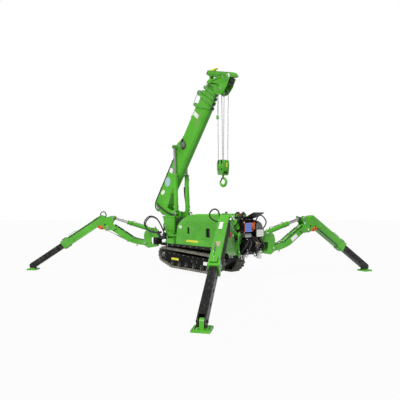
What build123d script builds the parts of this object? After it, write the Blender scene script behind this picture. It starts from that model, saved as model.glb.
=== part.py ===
from build123d import *
from math import atan2, cos, degrees, hypot, radians, sin
import os

# Spider crane: a narrow tracked carrier standing on four folding outriggers, with a slewing
# column, a telescopic boom raised by two cylinders, and a hook block on four falls of rope.
# Millimetres. +X points to the console end, +Y to the machine's left, +Z up, ground at z = 0.
# Places along the machine are given from its own middle, which the frame's origin lies beside.

# Tracks
track_outer_width = 600
track_belt_width = 180
track_bottom = 80
rear_wheel = (-755, 289)
rear_wheel_r = 134
front_wheel = (530, 250)
front_wheel_r = 125
run_end_x = 500
run_end_r = 60
belt_thickness = 22
lug_height = 14
lug_length = 30
lug_pitch = 62
roller_r = 46
roller_xs = (-470, -280, -90, 100, 290, 440)
axle_xs = (-430, 330)

# Chassis, deck and covers
deck_z = 486
deck_thickness = 46
deck_half_width = 280
deck_rear_x = -840
deck_front_x = 700
hub_low_z = 452
hub_high_z = 564
hub_r = 56
cover_top_z = 997
cover_front_x = 745
cover_wall = 6
running_gap = 0.3

# Column and boom
slew_x = -730
slew_ring_top = 640
pivot_x = -1190
pivot_z = 1120
boom_angle = 53.3
boom_width = 136
boom_depth = 330
boom_wall = 4
section_gap = 5
collar_length = 46
collar_rise = 10
last_section_end = 2430
arm_y = 80
arm_thickness = 10
luff_foot = (-580, 1000)
luff_pin_along = 1180
luff_pin_up = 200
luff_y = 128
luff_barrel_r = 38
luff_barrel_length = 700
luff_rod_r = 22
luff_rod_length = 680
luff_pin_r = 14
luff_eye_half = 24

# Head and hoist
sheave_past_end = 45
sheave_up = -225
sheave_r = 71
sheave_rim_r = 88
rope_r = 5
fall_spacing_y = 92
block_z = 1745
block_sheave_r = 50
block_rim_r = 61
block_wall = 7

# Outriggers. In a leg's own upright plane the first number is the distance out from the
# swivel and the second is the height.
swivel_x = 1000
swivel_y = 265
thigh_root = (195, 476)
lift_base = (90, 705)
lift_pin = (775, 927)
knee_pin = (865, 743)
ankle = (2185, 78)
shin_top = (1000, 880)
shin_length = 796
shin_depth = 140
shin_width = 112
inner_depth = 104
inner_width = 84
inner_overlap = 300
thigh_width = 100
cheek_gap = 124
cheek_thickness = 10
post_r = 30
swivel_gap = 116
swivel_plate = 12
leg_pin_r = 16
lift_barrel_r = 36
lift_barrel_length = 452
lift_rod_r = 26
lift_rod_length = 430
pad_size = 170
pad_thickness = 18
pad_pin_r = 12
pad_lug_r = 30
fork_half_gap = 27

# Columns: name, end of the machine along X, side along Y, heading of the leg in degrees from +X
legs = [
    ("front_right", 1, -1, -53.2),
    ("front_left", 1, 1, 75.4),
    ("rear_right", -1, -1, -127.8),
    ("rear_left", -1, 1, 127.8),
]

# The frame's origin is at ground level, in the middle of the box that the foot pads span
pad_low_x = []
pad_high_x = []
pad_low_y = []
pad_high_y = []
for name, end, side, heading in legs:
    a = radians(heading)
    pad_half = pad_size / 2 * (abs(sin(a)) + abs(cos(a)))
    foot_x = end * swivel_x + ankle[0] * cos(a)
    foot_y = side * swivel_y + ankle[0] * sin(a)
    pad_low_x.append(foot_x - pad_half)
    pad_high_x.append(foot_x + pad_half)
    pad_low_y.append(foot_y - pad_half)
    pad_high_y.append(foot_y + pad_half)
mid_x = -(min(pad_low_x) + max(pad_high_x)) / 2
mid_y = -(min(pad_low_y) + max(pad_high_y)) / 2

os.makedirs("parts", exist_ok=True)


def side_plane(y):
    # Upright and lengthwise: sketch x runs along the machine, sketch y is the height
    return Plane(origin=(mid_x, mid_y + y, 0), x_dir=(1, 0, 0), z_dir=(0, -1, 0))


def level(z):
    return Plane(origin=(mid_x, mid_y, z), x_dir=(1, 0, 0), z_dir=(0, 0, 1))


def cross_plane(x):
    # Upright and square to the machine: sketch x runs to its left, sketch y is the height
    return Plane(origin=(mid_x + x, mid_y, 0), x_dir=(0, 1, 0), z_dir=(1, 0, 0))


boom_x = cos(radians(boom_angle))
boom_z = sin(radians(boom_angle))


def boom_side(y):
    # Sketch x runs along the boom from its pivot, sketch y toward its upper side
    return Plane(origin=(mid_x + pivot_x, mid_y + y, pivot_z), x_dir=(boom_x, 0, boom_z), z_dir=(0, -1, 0))


def boom_cross(along):
    spot = (mid_x + pivot_x + along * boom_x, mid_y, pivot_z + along * boom_z)
    return Plane(origin=spot, x_dir=(0, 1, 0), z_dir=(boom_x, 0, boom_z))


def leg_plane(end, side, heading, offset=0):
    # A leg's own upright plane, moved sideways by the offset
    a = radians(heading)
    spot = (mid_x + end * swivel_x + offset * sin(a), mid_y + side * swivel_y - offset * cos(a), 0)
    return Plane(origin=spot, x_dir=(cos(a), sin(a), 0), z_dir=(sin(a), -cos(a), 0))


def leg_cross(end, side, heading, start, angle, along):
    # Square to a line in the leg's plane that leaves the start at the angle
    base = leg_plane(end, side, heading)
    spot = base.from_local_coords((start[0] + along * cos(angle), start[1] + along * sin(angle), 0))
    ahead = base.x_dir * cos(angle) + base.y_dir * sin(angle)
    return Plane(origin=spot, x_dir=base.z_dir, z_dir=ahead)


# Tracks: each belt is one closed loop with its lugs, over a raised wheel behind, a wheel in
# front and the two ends of the flat run
belt_middle = (track_outer_width - track_belt_width) / 2
belt_inner = track_outer_width / 2 - track_belt_width
wheel_shrink = lug_height + belt_thickness


def belt_outline(inset):
    with BuildSketch() as outline:
        with Locations(rear_wheel):
            Circle(rear_wheel_r - inset)
        with Locations(front_wheel):
            Circle(front_wheel_r - inset)
        with Locations((-run_end_x, track_bottom + run_end_r), (run_end_x, track_bottom + run_end_r)):
            Circle(run_end_r - inset)
        make_hull()
    return outline.sketch


for side_name, side in (("left", 1), ("right", -1)):
    y = side * belt_middle
    belt_loop = belt_outline(lug_height).faces()[0].outer_wire()
    lug_count = int(belt_loop.length / lug_pitch)
    with BuildPart() as track_belt:
        with BuildSketch(side_plane(y)):
            add(belt_outline(lug_height))
            for number in range(lug_count):
                spot = belt_loop.position_at(number / lug_count)
                along = belt_loop.tangent_at(number / lug_count)
                turn = degrees(atan2(along.Y, along.X))
                with Locations(Location((spot.X, spot.Y, 0), (0, 0, turn))):
                    Rectangle(lug_length, 2 * lug_height)
            add(belt_outline(wheel_shrink), mode=Mode.SUBTRACT)
        extrude(amount=track_belt_width / 2, both=True)
    track_belt.part.label = f"track_belt_{side_name}"
    export_step(track_belt.part, f"parts/track_belt_{side_name}.step")

    # Side frame with its wheels, hubs and the rollers that ride on the flat run
    roller_z = track_bottom + wheel_shrink + roller_r
    with BuildPart() as track_frame:
        with BuildSketch(side_plane(y)):
            with BuildLine():
                Polyline((-740, 205), (-560, 158), (-470, 140), (450, 140), (520, 190), (530, 300),
                         (-300, 330), (-620, 372), (-740, 372), (-740, 205))
            make_face()
        extrude(amount=70, both=True)
        with BuildSketch(side_plane(y)):
            with Locations(rear_wheel):
                Circle(rear_wheel_r - wheel_shrink)
            with Locations(front_wheel):
                Circle(front_wheel_r - wheel_shrink)
        extrude(amount=76, both=True)
        with BuildSketch(side_plane(y)):
            with Locations(rear_wheel, front_wheel):
                Circle(44)
            with Locations(*[(x, roller_z) for x in roller_xs]):
                Circle(roller_r)
        extrude(amount=82, both=True)
        with BuildSketch(side_plane(y)):
            with Locations(*[(x, roller_z) for x in roller_xs]):
                Circle(14)
        extrude(amount=88, both=True)
    track_frame.part.label = f"track_frame_{side_name}"
    export_step(track_frame.part, f"parts/track_frame_{side_name}.step")

# Chassis: a centre box between the tracks with cross axles to their frames, the deck above,
# a beam at each end and a block at each corner with the upright hole for an outrigger's post
frame_gap = belt_middle - 70
with BuildPart() as chassis_frame:
    with BuildSketch(side_plane(0)):
        with BuildLine():
            Polyline((-820, 250), (-760, 190), (520, 190), (640, 260), (deck_front_x, 330),
                     (deck_front_x, deck_z - 10), (deck_rear_x, deck_z - 10), (-820, 250))
        make_face()
    extrude(amount=belt_inner - 10, both=True)
    with BuildSketch(level(225)):
        with Locations(*[(x, 0) for x in axle_xs]):
            Rectangle(110, 2 * frame_gap)
    extrude(amount=70)
    with BuildSketch(level(deck_z - deck_thickness)):
        with Locations(((deck_rear_x + deck_front_x) / 2, 0)):
            Rectangle(deck_front_x - deck_rear_x, 2 * deck_half_width)
    extrude(amount=deck_thickness)
    with BuildSketch(level(330)):
        with Locations((730, 0)):
            Rectangle(80, 330)
    extrude(amount=deck_z - 330)
    for end in (1, -1):
        with BuildSketch(level(hub_low_z)):
            with Locations((end * 840, 0)):
                Rectangle(160, 2 * swivel_y)
            with Locations((end * 925, swivel_y - 22), (end * 925, 22 - swivel_y)):
                Rectangle(90, 100)
            with Locations((end * 940, swivel_y), (end * 940, -swivel_y)):
                Rectangle(120, 80)
            with Locations((end * swivel_x, swivel_y), (end * swivel_x, -swivel_y)):
                Circle(hub_r)
        extrude(amount=(deck_z if end < 0 else hub_high_z) - hub_low_z)
        with BuildSketch(level(hub_low_z)):
            with Locations((end * 940, swivel_y), (end * 940, -swivel_y)):
                Rectangle(120, 80)
            with Locations((end * swivel_x, swivel_y), (end * swivel_x, -swivel_y)):
                Circle(hub_r)
        extrude(amount=hub_high_z - hub_low_z)
    # Front box between the outriggers, with the console on it
    with BuildSketch(side_plane(0)):
        with BuildLine():
            Polyline((760, 400), (1010, 400), (1110, 460), (1110, 655), (760, 655), (760, 400))
        make_face()
    extrude(amount=165, both=True)
    with BuildSketch(level(hub_low_z - 1)):
        with Locations(*[(end * swivel_x, side * swivel_y) for end in (1, -1) for side in (1, -1)]):
            Circle(post_r + running_gap)
    extrude(amount=hub_high_z - hub_low_z + 2, mode=Mode.SUBTRACT)
    # Tie-down rings under the front box
    for y in (-90, 90):
        with BuildSketch(cross_plane(1050)):
            with Locations((y, 400)):
                Circle(30)
                Circle(20, mode=Mode.SUBTRACT)
        extrude(amount=5, both=True)
chassis_frame.part.label = "chassis_frame"
export_step(chassis_frame.part, "parts/chassis_frame.step")

# Slew base: green deck box, round pedestal and ring under the column
with BuildPart() as slew_base:
    with BuildSketch(level(deck_z)):
        with Locations((-555, 0)):
            Rectangle(210, 2 * deck_half_width)
        with Locations((slew_x, 0)):
            Circle(200)
    extrude(amount=84)
    fillet(slew_base.edges().filter_by(Axis.Z).sort_by(Axis.X)[:2], 20)
    with BuildSketch(level(deck_z + 84)):
        with Locations((slew_x, 0)):
            Circle(180)
    extrude(amount=30)
    with BuildSketch(level(deck_z + 114)):
        with Locations((slew_x, 0)):
            Circle(215)
    extrude(amount=slew_ring_top - deck_z - 114)
slew_base.part.label = "slew_base"
export_step(slew_base.part, "parts/slew_base.step")

# Engine cover: a hood open underneath, its rear end curving up to a level top, with a small and
# a large vent on each side and a skirt around its foot
cover_rear_x = -446
cover_corner_r = 70
cover_round_r = 34
cover_trim = 1


def hood(inset):
    # The hood's outside when the inset is nothing, or the space left inside walls that thick
    half_width = deck_half_width - inset
    with BuildPart() as shape:
        with BuildSketch(side_plane(0)):
            with BuildLine():
                Line((cover_rear_x, deck_z), (cover_rear_x, 520))
                Line((cover_rear_x, 520), (-382, 585))
                Line((-382, 585), (-352, 790))
                ThreePointArc((-352, 790), (-205, 908), (20, 978))
                Line((20, 978), (190, cover_top_z))
                Line((190, cover_top_z), (cover_front_x - 30, cover_top_z))
                Line((cover_front_x - 30, cover_top_z), (cover_front_x, cover_top_z - 40))
                Line((cover_front_x, cover_top_z - 40), (cover_front_x, deck_z))
                Line((cover_front_x, deck_z), (cover_rear_x, deck_z))
            make_face()
            if inset > 0:
                offset(amount=-inset, kind=Kind.INTERSECTION)
        extrude(amount=half_width, both=True)
        # Rounded corners as seen from above, then rounded edges as seen from the end
        with BuildSketch(level(deck_z)):
            with Locations(((cover_rear_x + cover_front_x) / 2, 0)):
                length = cover_front_x - cover_rear_x - 2 * inset - 2 * cover_trim
                RectangleRounded(length, 2 * half_width, cover_corner_r - inset)
        extrude(amount=cover_top_z, mode=Mode.INTERSECT)
        with BuildSketch(cross_plane(cover_rear_x)):
            height = cover_top_z - inset - cover_trim
            with Locations((0, height / 2)):
                RectangleRounded(2 * half_width - 2 * cover_trim, height, cover_round_r - inset)
        extrude(amount=cover_front_x - cover_rear_x, mode=Mode.INTERSECT)
    return shape.part


with BuildPart() as engine_cover:
    add(hood(0))
    add(hood(cover_wall), mode=Mode.SUBTRACT)
    with BuildSketch(level(deck_z)):
        with Locations(((cover_rear_x + cover_front_x) / 2, 0)):
            Rectangle(cover_front_x - cover_rear_x - 60, 2 * deck_half_width - 60)
    extrude(amount=20, mode=Mode.SUBTRACT)
    # Columns: middle along X, middle height, width, height of each vent
    for x, z, width, height in ((-56, 726, 52, 104), (424, 702, 88, 138)):
        with BuildSketch(side_plane(0)):
            with Locations((x, z)):
                RectangleRounded(width, height, 12)
        extrude(amount=deck_half_width + 10, both=True, mode=Mode.SUBTRACT)
engine_cover.part.label = "engine_cover"
export_step(engine_cover.part, "parts/engine_cover.step")

# The engine and its pump as one block on the deck
with BuildPart() as engine_block:
    with BuildSketch(level(deck_z)):
        with Locations((180, 0)):
            Rectangle(620, 400)
    extrude(amount=380)
engine_block.part.label = "engine_block"
export_step(engine_block.part, "parts/engine_block.step")

# Console: housing on the front box with the lid's hinge eyes, an arched box and a plate box
lid_hinge = (998, 928)
lid_hinge_y = 88
with BuildPart() as console_box:
    with BuildSketch(side_plane(0)):
        with BuildLine():
            Polyline((780, 655), (1060, 655), (1060, 880), (1035, 905), (900, 930), (780, 930), (780, 655))
        make_face()
    extrude(amount=130, both=True)
    for y in (-lid_hinge_y, lid_hinge_y):
        with BuildSketch(side_plane(y)):
            with Locations((lid_hinge[0], lid_hinge[1] - 12)):
                Rectangle(24, 28)
            with Locations(lid_hinge):
                Circle(12)
                Circle(4 + running_gap, mode=Mode.SUBTRACT)
        extrude(amount=6, both=True)
    with BuildSketch(cross_plane(1050)):
        with Locations((112, 835)):
            Trapezoid(120, 110, 70)
    extrude(amount=40)
    with BuildSketch(cross_plane(1060)):
        with Locations((122, 716)):
            Rectangle(138, 108)
    extrude(amount=62)
console_box.part.label = "console_box"
export_step(console_box.part, "parts/console_box.step")

# The lid over the levers, turned forward on its hinge pin so that it shades the screen
with BuildPart() as console_lid:
    with BuildSketch(side_plane(0)):
        with BuildLine():
            Polyline((1024, 930), (1205, 1006), (1200, 1016), (1018, 939), (1024, 930))
        make_face()
    extrude(amount=112, both=True)
    with BuildSketch(side_plane(0)):
        with BuildLine():
            Polyline((994, 936), (1002, 920), (1032, 930), (1026, 943), (994, 936))
        make_face()
        with Locations(lid_hinge):
            Circle(10)
    extrude(amount=lid_hinge_y - 10, both=True)
    with BuildSketch(side_plane(0)):
        with Locations(lid_hinge):
            Circle(4)
    extrude(amount=lid_hinge_y + 8, both=True)
console_lid.part.label = "console_lid"
export_step(console_lid.part, "parts/console_lid.step")

with BuildPart() as plate_box:
    with BuildSketch(cross_plane(1122)):
        with Locations((122, 718)):
            Rectangle(122, 92)
    extrude(amount=8)
plate_box.part.label = "plate_box"
export_step(plate_box.part, "parts/plate_box.step")

# Screen unit: a framed screen on a short bracket
with BuildPart() as display_unit:
    with BuildSketch(cross_plane(1066)):
        with Locations((-85, 800)):
            RectangleRounded(262, 156, 14)
    extrude(amount=44)
    with BuildSketch(cross_plane(1110)):
        with Locations((-132, 798)):
            RectangleRounded(134, 120, 6)
    extrude(amount=-6, mode=Mode.SUBTRACT)
    with BuildSketch(cross_plane(1060)):
        with Locations((-60, 800)):
            Rectangle(80, 60)
    extrude(amount=6)
display_unit.part.label = "display_unit"
export_step(display_unit.part, "parts/display_unit.step")

with BuildPart() as display_screen:
    with BuildSketch(cross_plane(1104)):
        with Locations((-132, 798)):
            RectangleRounded(132, 118, 5)
    extrude(amount=4)
display_screen.part.label = "display_screen"
export_step(display_screen.part, "parts/display_screen.step")

# Levers: a row of knobbed levers on a bar across the console, and one long slanted lever
lever_xs = 840
with BuildPart() as lever_bank:
    with BuildSketch(level(930)):
        with Locations((lever_xs, 0)):
            Rectangle(50, 250)
    extrude(amount=10)
    for step in range(6):
        with BuildSketch(level(940)):
            with Locations((lever_xs, 40 * step - 100)):
                Circle(5)
        extrude(amount=50)
        with Locations((mid_x + lever_xs, mid_y + 40 * step - 100, 996)):
            Sphere(11)
lever_bank.part.label = "lever_bank"
export_step(lever_bank.part, "parts/lever_bank.step")

winch = (slew_x, 895)
arm_inside = arm_y - arm_thickness / 2

# Column: it turns on the ring, carries the boom's pivot on two arms behind and the luffing
# cylinders' feet ahead
arm_outline = [(-545, 935), (-515, 965), (-528, 1030), (-575, 1046), (-650, 1030), (-820, 1066),
               (-1130, 1196), (-1205, 1190), (-1252, 1130), (-1240, 1075), (-1180, 1052),
               (-1030, 985), (-905, 935), (-545, 935)]
box_low_z = slew_ring_top + 20
box_top_z = 950
with BuildPart() as column:
    with BuildSketch(level(slew_ring_top + running_gap)):
        with Locations((slew_x, 0)):
            Circle(205)
    extrude(amount=26)
    with BuildSketch(side_plane(0)):
        with BuildLine():
            Polyline((slew_x - 75, box_low_z), (slew_x + 165, box_low_z), (slew_x + 175, box_top_z),
                     (slew_x - 178, box_top_z), (slew_x - 75, box_low_z))
        make_face()
    extrude(amount=192, both=True)
    with BuildSketch(level(box_top_z)):
        with Locations((slew_x, 0)):
            Rectangle(350, 384)
    extrude(amount=12)
    with BuildSketch(level(winch[1] - 78)):
        with Locations((winch[0], 0)):
            Rectangle(150, 2 * arm_inside)
    extrude(amount=200, mode=Mode.SUBTRACT)
    for side in (1, -1):
        with BuildSketch(side_plane(side * arm_y)):
            with BuildLine():
                Polyline(*arm_outline)
            make_face()
        extrude(amount=arm_thickness / 2, both=True)
        with BuildSketch(side_plane(side * (arm_y + luff_y + luff_eye_half + 8) / 2)):
            with Locations(luff_foot):
                Circle(luff_pin_r)
        extrude(amount=(luff_y + luff_eye_half + 8 - arm_y) / 2, both=True)
        with BuildSketch(side_plane(side * (arm_y + arm_thickness))):
            with Locations((pivot_x, pivot_z)):
                Circle(44)
        extrude(amount=8, both=True)
column.part.label = "column"
export_step(column.part, "parts/column.step")

# Winch: drum with two flanges on a shaft, in a pocket of the column
flange_y = arm_inside - 12
with BuildPart() as winch_drum:
    with BuildSketch(side_plane(0)):
        with Locations(winch):
            Circle(20)
    extrude(amount=arm_inside, both=True)
    with BuildSketch(side_plane(0)):
        with Locations(winch):
            Circle(42)
    extrude(amount=flange_y, both=True)
    for y in (-flange_y, flange_y):
        with BuildSketch(side_plane(y)):
            with Locations(winch):
                Circle(64)
        extrude(amount=4, both=True)
winch_drum.part.label = "winch_drum"
export_step(winch_drum.part, "parts/winch_drum.step")


sheave_along = last_section_end + sheave_past_end


# Boom sections: flat top and sides, with a slope down to a narrower bottom
def section_profile(width, depth):
    w = width / 2
    d = depth / 2
    slope = 0.24 * width
    bevel = 12
    return [(bevel - w, d), (w - bevel, d), (w, d - bevel), (w, slope - d), (w - slope, -d),
            (slope - w, -d), (-w, slope - d), (-w, d - bevel), (bevel - w, d)]


def section_collar(finish, lean, width, depth):
    # The band round a section's open end; its upper side stands back from its lower side
    front_low = finish + lean / 2
    front_high = finish - 3 * lean / 2
    with BuildPart() as band:
        with BuildSketch(boom_cross(front_high - collar_length)):
            with BuildLine():
                Polyline(*section_profile(width + 2 * collar_rise, depth + 2 * collar_rise))
            make_face()
        extrude(amount=2 * lean + collar_length)
        with BuildSketch(boom_side(0)):
            with BuildLine():
                Polyline((front_low - collar_length, -depth), (front_low, -depth), (front_high, depth),
                         (front_high - collar_length, depth), (front_low - collar_length, -depth))
            make_face()
        extrude(amount=width, both=True, mode=Mode.INTERSECT)
    return band.part


section_step = 2 * (boom_wall + section_gap)
# Columns: name, where it starts and ends along the boom, how far the upper side of its end stands
# back, and the lug on that side: its place along, its height over the section and its radius
sections = [
    ("boom_base", -60, 2136, 110, 2006, 52, 30),
    ("boom_section_2", 60, 2214, 0, 2208, 84, 46),
    ("boom_section_3", 90, 2290, 0, 2264, 30, 24),
    ("boom_section_4", 120, 2362, 0, 2340, 34, 32),
    ("boom_section_5", 150, last_section_end, 0, 2404, 24, 22),
]
for number, (name, start, finish, lean, lug_along, lug_rise, lug_r) in enumerate(sections):
    width = boom_width - number * section_step
    depth = boom_depth - number * section_step
    with BuildPart() as boom_part:
        with BuildSketch(boom_cross(start)):
            with BuildLine():
                Polyline(*section_profile(width, depth))
            make_face()
        extrude(amount=finish - start)
        if lean > 0:
            with BuildSketch(boom_side(0)):
                with BuildLine():
                    Polyline((finish + lean / 2, -depth), (finish - 3 * lean / 2, depth),
                             (finish + lean, depth), (finish + lean, -depth), (finish + lean / 2, -depth))
                make_face()
            extrude(amount=width, both=True, mode=Mode.SUBTRACT)
        add(section_collar(finish, lean, width, depth))
        with BuildSketch(boom_side(0)):
            with Locations((lug_along, depth / 2 + lug_rise)):
                Circle(lug_r)
            with Locations((lug_along, depth / 2 + lug_rise / 2 - 4)):
                Rectangle(1.2 * lug_r, lug_rise + 8)
        extrude(amount=width / 2 - 4, both=True)
        if number == 0:
            # Foot plates around the pivot, and the pads that take the luffing cylinders' pins
            with BuildSketch(boom_side(0)):
                with BuildLine():
                    Polyline((-60, -boom_depth / 2 + 2), (-20, -205), (230, -205), (420, -boom_depth / 2 + 2),
                             (-60, -boom_depth / 2 + 2))
                make_face()
                with BuildLine():
                    Polyline((luff_pin_along - 190, boom_depth / 2 - 4),
                             (luff_pin_along - 60, luff_pin_up + 34), (luff_pin_along + 60, luff_pin_up + 34),
                             (luff_pin_along + 190, boom_depth / 2 - 4),
                             (luff_pin_along - 190, boom_depth / 2 - 4))
                make_face()
            extrude(amount=boom_width / 2 + 2, both=True)
            with BuildSketch(boom_side(0)):
                with Locations((luff_pin_along, luff_pin_up)):
                    Circle(40)
            extrude(amount=luff_y - luff_eye_half - running_gap, both=True)
        # The hollow, narrowed at the collar to the pads that guide the next section
        guide_start = finish - 3 * lean / 2 - collar_length
        with BuildSketch(boom_cross(start + (boom_wall if number == 0 else 0))):
            with BuildLine():
                Polyline(*section_profile(width - 2 * boom_wall, depth - 2 * boom_wall))
            make_face()
        extrude(amount=guide_start - start - boom_wall, mode=Mode.SUBTRACT)
        with BuildSketch(boom_cross(guide_start - 10)):
            with BuildLine():
                pad_play = 2 * running_gap - section_step
                Polyline(*section_profile(width + pad_play, depth + pad_play))
            make_face()
        extrude(amount=finish - guide_start + 20, mode=Mode.SUBTRACT)
        if number == 0:
            with BuildSketch(boom_side(0)):
                Circle(34)
            extrude(amount=arm_inside - running_gap, both=True)
    boom_part.part.label = name
    export_step(boom_part.part, f"parts/{name}.step")

# Boom head: cheek plates on the last section, with a guard beam standing across its top on a
# post, a rope guide and the axle of the sheaves. Outlines are set from the sheaves' middle.
cheek_y = 66
head_rise = sheave_past_end
cheek_outline = [(-head_rise, 340), (15, 345), (35, 245), (165, 75), (225, -15), (225, -105),
                 (85, -120), (-35, -95), (-105, -15), (-105, 75), (-head_rise, 165), (-head_rise, 340)]
beam_outline = [(55, 487), (125, 475), (315, -105), (290, -175), (250, -135), (55, 405), (55, 487)]
post_outline = [(-35, 337), (85, 425), (95, 385), (-25, 285), (-35, 337)]
guide_outline = [(125, 105), (185, 105), (225, 25), (165, 5), (125, 105)]


def from_sheave(outline):
    return [(sheave_along + x, sheave_up + n) for x, n in outline]


with BuildPart() as boom_head:
    for side in (1, -1):
        with BuildSketch(boom_side(side * cheek_y)):
            with BuildLine():
                Polyline(*from_sheave(cheek_outline))
            make_face()
        extrude(amount=5, both=True)
    with BuildSketch(boom_cross(last_section_end)):
        Rectangle(2 * cheek_y + 10, 230)
    extrude(amount=16)
    # Columns: outline, half its width
    for outline, half_width in ((beam_outline, 40), (post_outline, 28), (guide_outline, 28)):
        with BuildSketch(boom_side(0)):
            with BuildLine():
                Polyline(*from_sheave(outline))
            make_face()
        extrude(amount=half_width, both=True)
    # Rope roller and spacers between the cheeks
    with BuildSketch(boom_side(0)):
        with Locations((sheave_along, sheave_up)):
            Circle(16)
        with Locations((sheave_along + 175, sheave_up - 55)):
            Circle(14)
        with Locations((sheave_along + 10, sheave_up + 265)):
            Circle(26)
    extrude(amount=cheek_y + 14, both=True)
boom_head.part.label = "boom_head"
export_step(boom_head.part, "parts/boom_head.step")

# The two head sheaves, grooved for the rope
with BuildPart() as head_sheaves:
    for y in (-fall_spacing_y / 2, fall_spacing_y / 2):
        for across, radius, half_width in ((-9, sheave_rim_r, 3), (0, sheave_r, 7), (9, sheave_rim_r, 3)):
            with BuildSketch(boom_side(y + across)):
                with Locations((sheave_along, sheave_up)):
                    Circle(radius)
                    Circle(16 + running_gap, mode=Mode.SUBTRACT)
            extrude(amount=half_width, both=True)
head_sheaves.part.label = "head_sheaves"
export_step(head_sheaves.part, "parts/head_sheaves.step")

# Round boom angle dial on the right side of the base section
with BuildPart() as angle_dial:
    with BuildSketch(boom_side(-boom_width / 2)):
        with Locations((1300, 60)):
            Circle(62)
    extrude(amount=12)
angle_dial.part.label = "angle_dial"
export_step(angle_dial.part, "parts/angle_dial.step")

# Luffing cylinders, one on each side of the boom
luff_top = (pivot_x + luff_pin_along * boom_x - luff_pin_up * boom_z,
            pivot_z + luff_pin_along * boom_z + luff_pin_up * boom_x)
luff_angle = atan2(luff_top[1] - luff_foot[1], luff_top[0] - luff_foot[0])
luff_span = hypot(luff_top[1] - luff_foot[1], luff_top[0] - luff_foot[0])


def luff_cross(along, y):
    spot = (mid_x + luff_foot[0] + along * cos(luff_angle), mid_y + y, luff_foot[1] + along * sin(luff_angle))
    return Plane(origin=spot, x_dir=(0, 1, 0), z_dir=(cos(luff_angle), 0, sin(luff_angle)))


with BuildPart() as luff_barrels:
    for side in (1, -1):
        y = side * luff_y
        with BuildSketch(side_plane(y)):
            with Locations(luff_foot):
                Circle(32)
        extrude(amount=luff_eye_half, both=True)
        with BuildSketch(luff_cross(10, y)):
            Circle(20)
        extrude(amount=40)
        with BuildSketch(luff_cross(40, y)):
            Circle(luff_barrel_r)
        extrude(amount=luff_barrel_length - 40)
        with BuildSketch(luff_cross(luff_barrel_length - 40, y)):
            Circle(luff_barrel_r + 4)
        extrude(amount=40)
        with BuildSketch(luff_cross(52, y)):
            Circle(luff_rod_r + running_gap)
        extrude(amount=luff_barrel_length, mode=Mode.SUBTRACT)
        with BuildSketch(side_plane(y)):
            with Locations(luff_foot):
                Circle(luff_pin_r + running_gap)
        extrude(amount=30, both=True, mode=Mode.SUBTRACT)
luff_barrels.part.label = "luff_barrels"
export_step(luff_barrels.part, "parts/luff_barrels.step")

# Their rods, each with its eye and the pin's end cap
with BuildPart() as luff_rods:
    for side in (1, -1):
        y = side * luff_y
        with BuildSketch(luff_cross(luff_span - luff_rod_length, y)):
            Circle(luff_rod_r)
        extrude(amount=luff_rod_length)
        with BuildSketch(side_plane(y)):
            with Locations(luff_top):
                Circle(36)
        extrude(amount=luff_eye_half, both=True)
        with BuildSketch(side_plane(y + side * luff_eye_half)):
            with Locations(luff_top):
                Circle(20)
        extrude(amount=10, both=True)
luff_rods.part.label = "luff_rods"
export_step(luff_rods.part, "parts/luff_rods.step")

# Four falls of rope, which draw together from the head sheaves to the block's smaller ones
sheave_x = pivot_x + sheave_along * boom_x - sheave_up * boom_z
sheave_z = pivot_z + sheave_along * boom_z + sheave_up * boom_x
fall_top_x = sheave_r + rope_r + running_gap
fall_low_x = block_sheave_r + rope_r + running_gap
with BuildPart() as hoist_ropes:
    for side in (1, -1):
        for across in (1, -1):
            lean_x = side * (fall_top_x - fall_low_x)
            length = hypot(lean_x, sheave_z - block_z)
            spot = (mid_x + sheave_x + side * fall_low_x, mid_y + across * fall_spacing_y / 2, block_z)
            with BuildSketch(Plane(origin=spot, x_dir=(0, 1, 0), z_dir=(lean_x, 0, sheave_z - block_z))):
                Circle(rope_r)
            extrude(amount=length)
hoist_ropes.part.label = "hoist_ropes"
export_step(hoist_ropes.part, "parts/hoist_ropes.step")

# Hook block: a rounded casing with a slot from above for each of its two sheaves, windows in its
# cheeks, and a crosshead in an opening below
block_outline = [(-52, 98), (52, 98), (66, 78), (75, 30), (74, -20), (66, -80), (52, -140), (-52, -140),
                 (-66, -80), (-74, -20), (-75, 30), (-66, 78), (-52, 98)]
block_slot = 11
block_half_width = fall_spacing_y / 2 + block_slot + block_wall
with BuildPart() as hook_block:
    with BuildSketch(side_plane(0)):
        with BuildLine():
            Polyline(*[(sheave_x + x, block_z + z) for x, z in block_outline])
        make_face()
    extrude(amount=block_half_width, both=True)
    for y in (-fall_spacing_y / 2, fall_spacing_y / 2):
        with BuildSketch(side_plane(y)):
            with Locations((sheave_x, block_z + 24)):
                Rectangle(2 * (block_rim_r + 3), 180)
        extrude(amount=block_slot, both=True, mode=Mode.SUBTRACT)
        with BuildSketch(side_plane(y)):
            with Locations((sheave_x, block_z)):
                Circle(block_sheave_r)
        extrude(amount=block_slot, both=True)
        for across in (-8, 8):
            with BuildSketch(side_plane(y + across)):
                with Locations((sheave_x, block_z)):
                    Circle(block_rim_r)
            extrude(amount=3, both=True)
    for side in (1, -1):
        with BuildSketch(side_plane(side * (block_half_width - block_wall / 2))):
            for x in (-30, 30):
                with Locations((sheave_x + x, block_z + 62)):
                    RectangleRounded(30, 34, 6)
                with Locations((sheave_x + x, block_z - 52)):
                    RectangleRounded(26, 26, 6)
        extrude(amount=block_wall / 2 + 1, both=True, mode=Mode.SUBTRACT)
    with BuildSketch(side_plane(0)):
        with Locations((sheave_x, block_z - 118)):
            Rectangle(260, 60)
    extrude(amount=block_half_width - 14, both=True, mode=Mode.SUBTRACT)
    with BuildSketch(level(block_z - 138)):
        with Locations((sheave_x, 0)):
            Rectangle(72, 2 * block_half_width - 10)
            Circle(16 + running_gap, mode=Mode.SUBTRACT)
    extrude(amount=26)
hook_block.part.label = "hook_block"
export_step(hook_block.part, "parts/hook_block.step")

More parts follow.
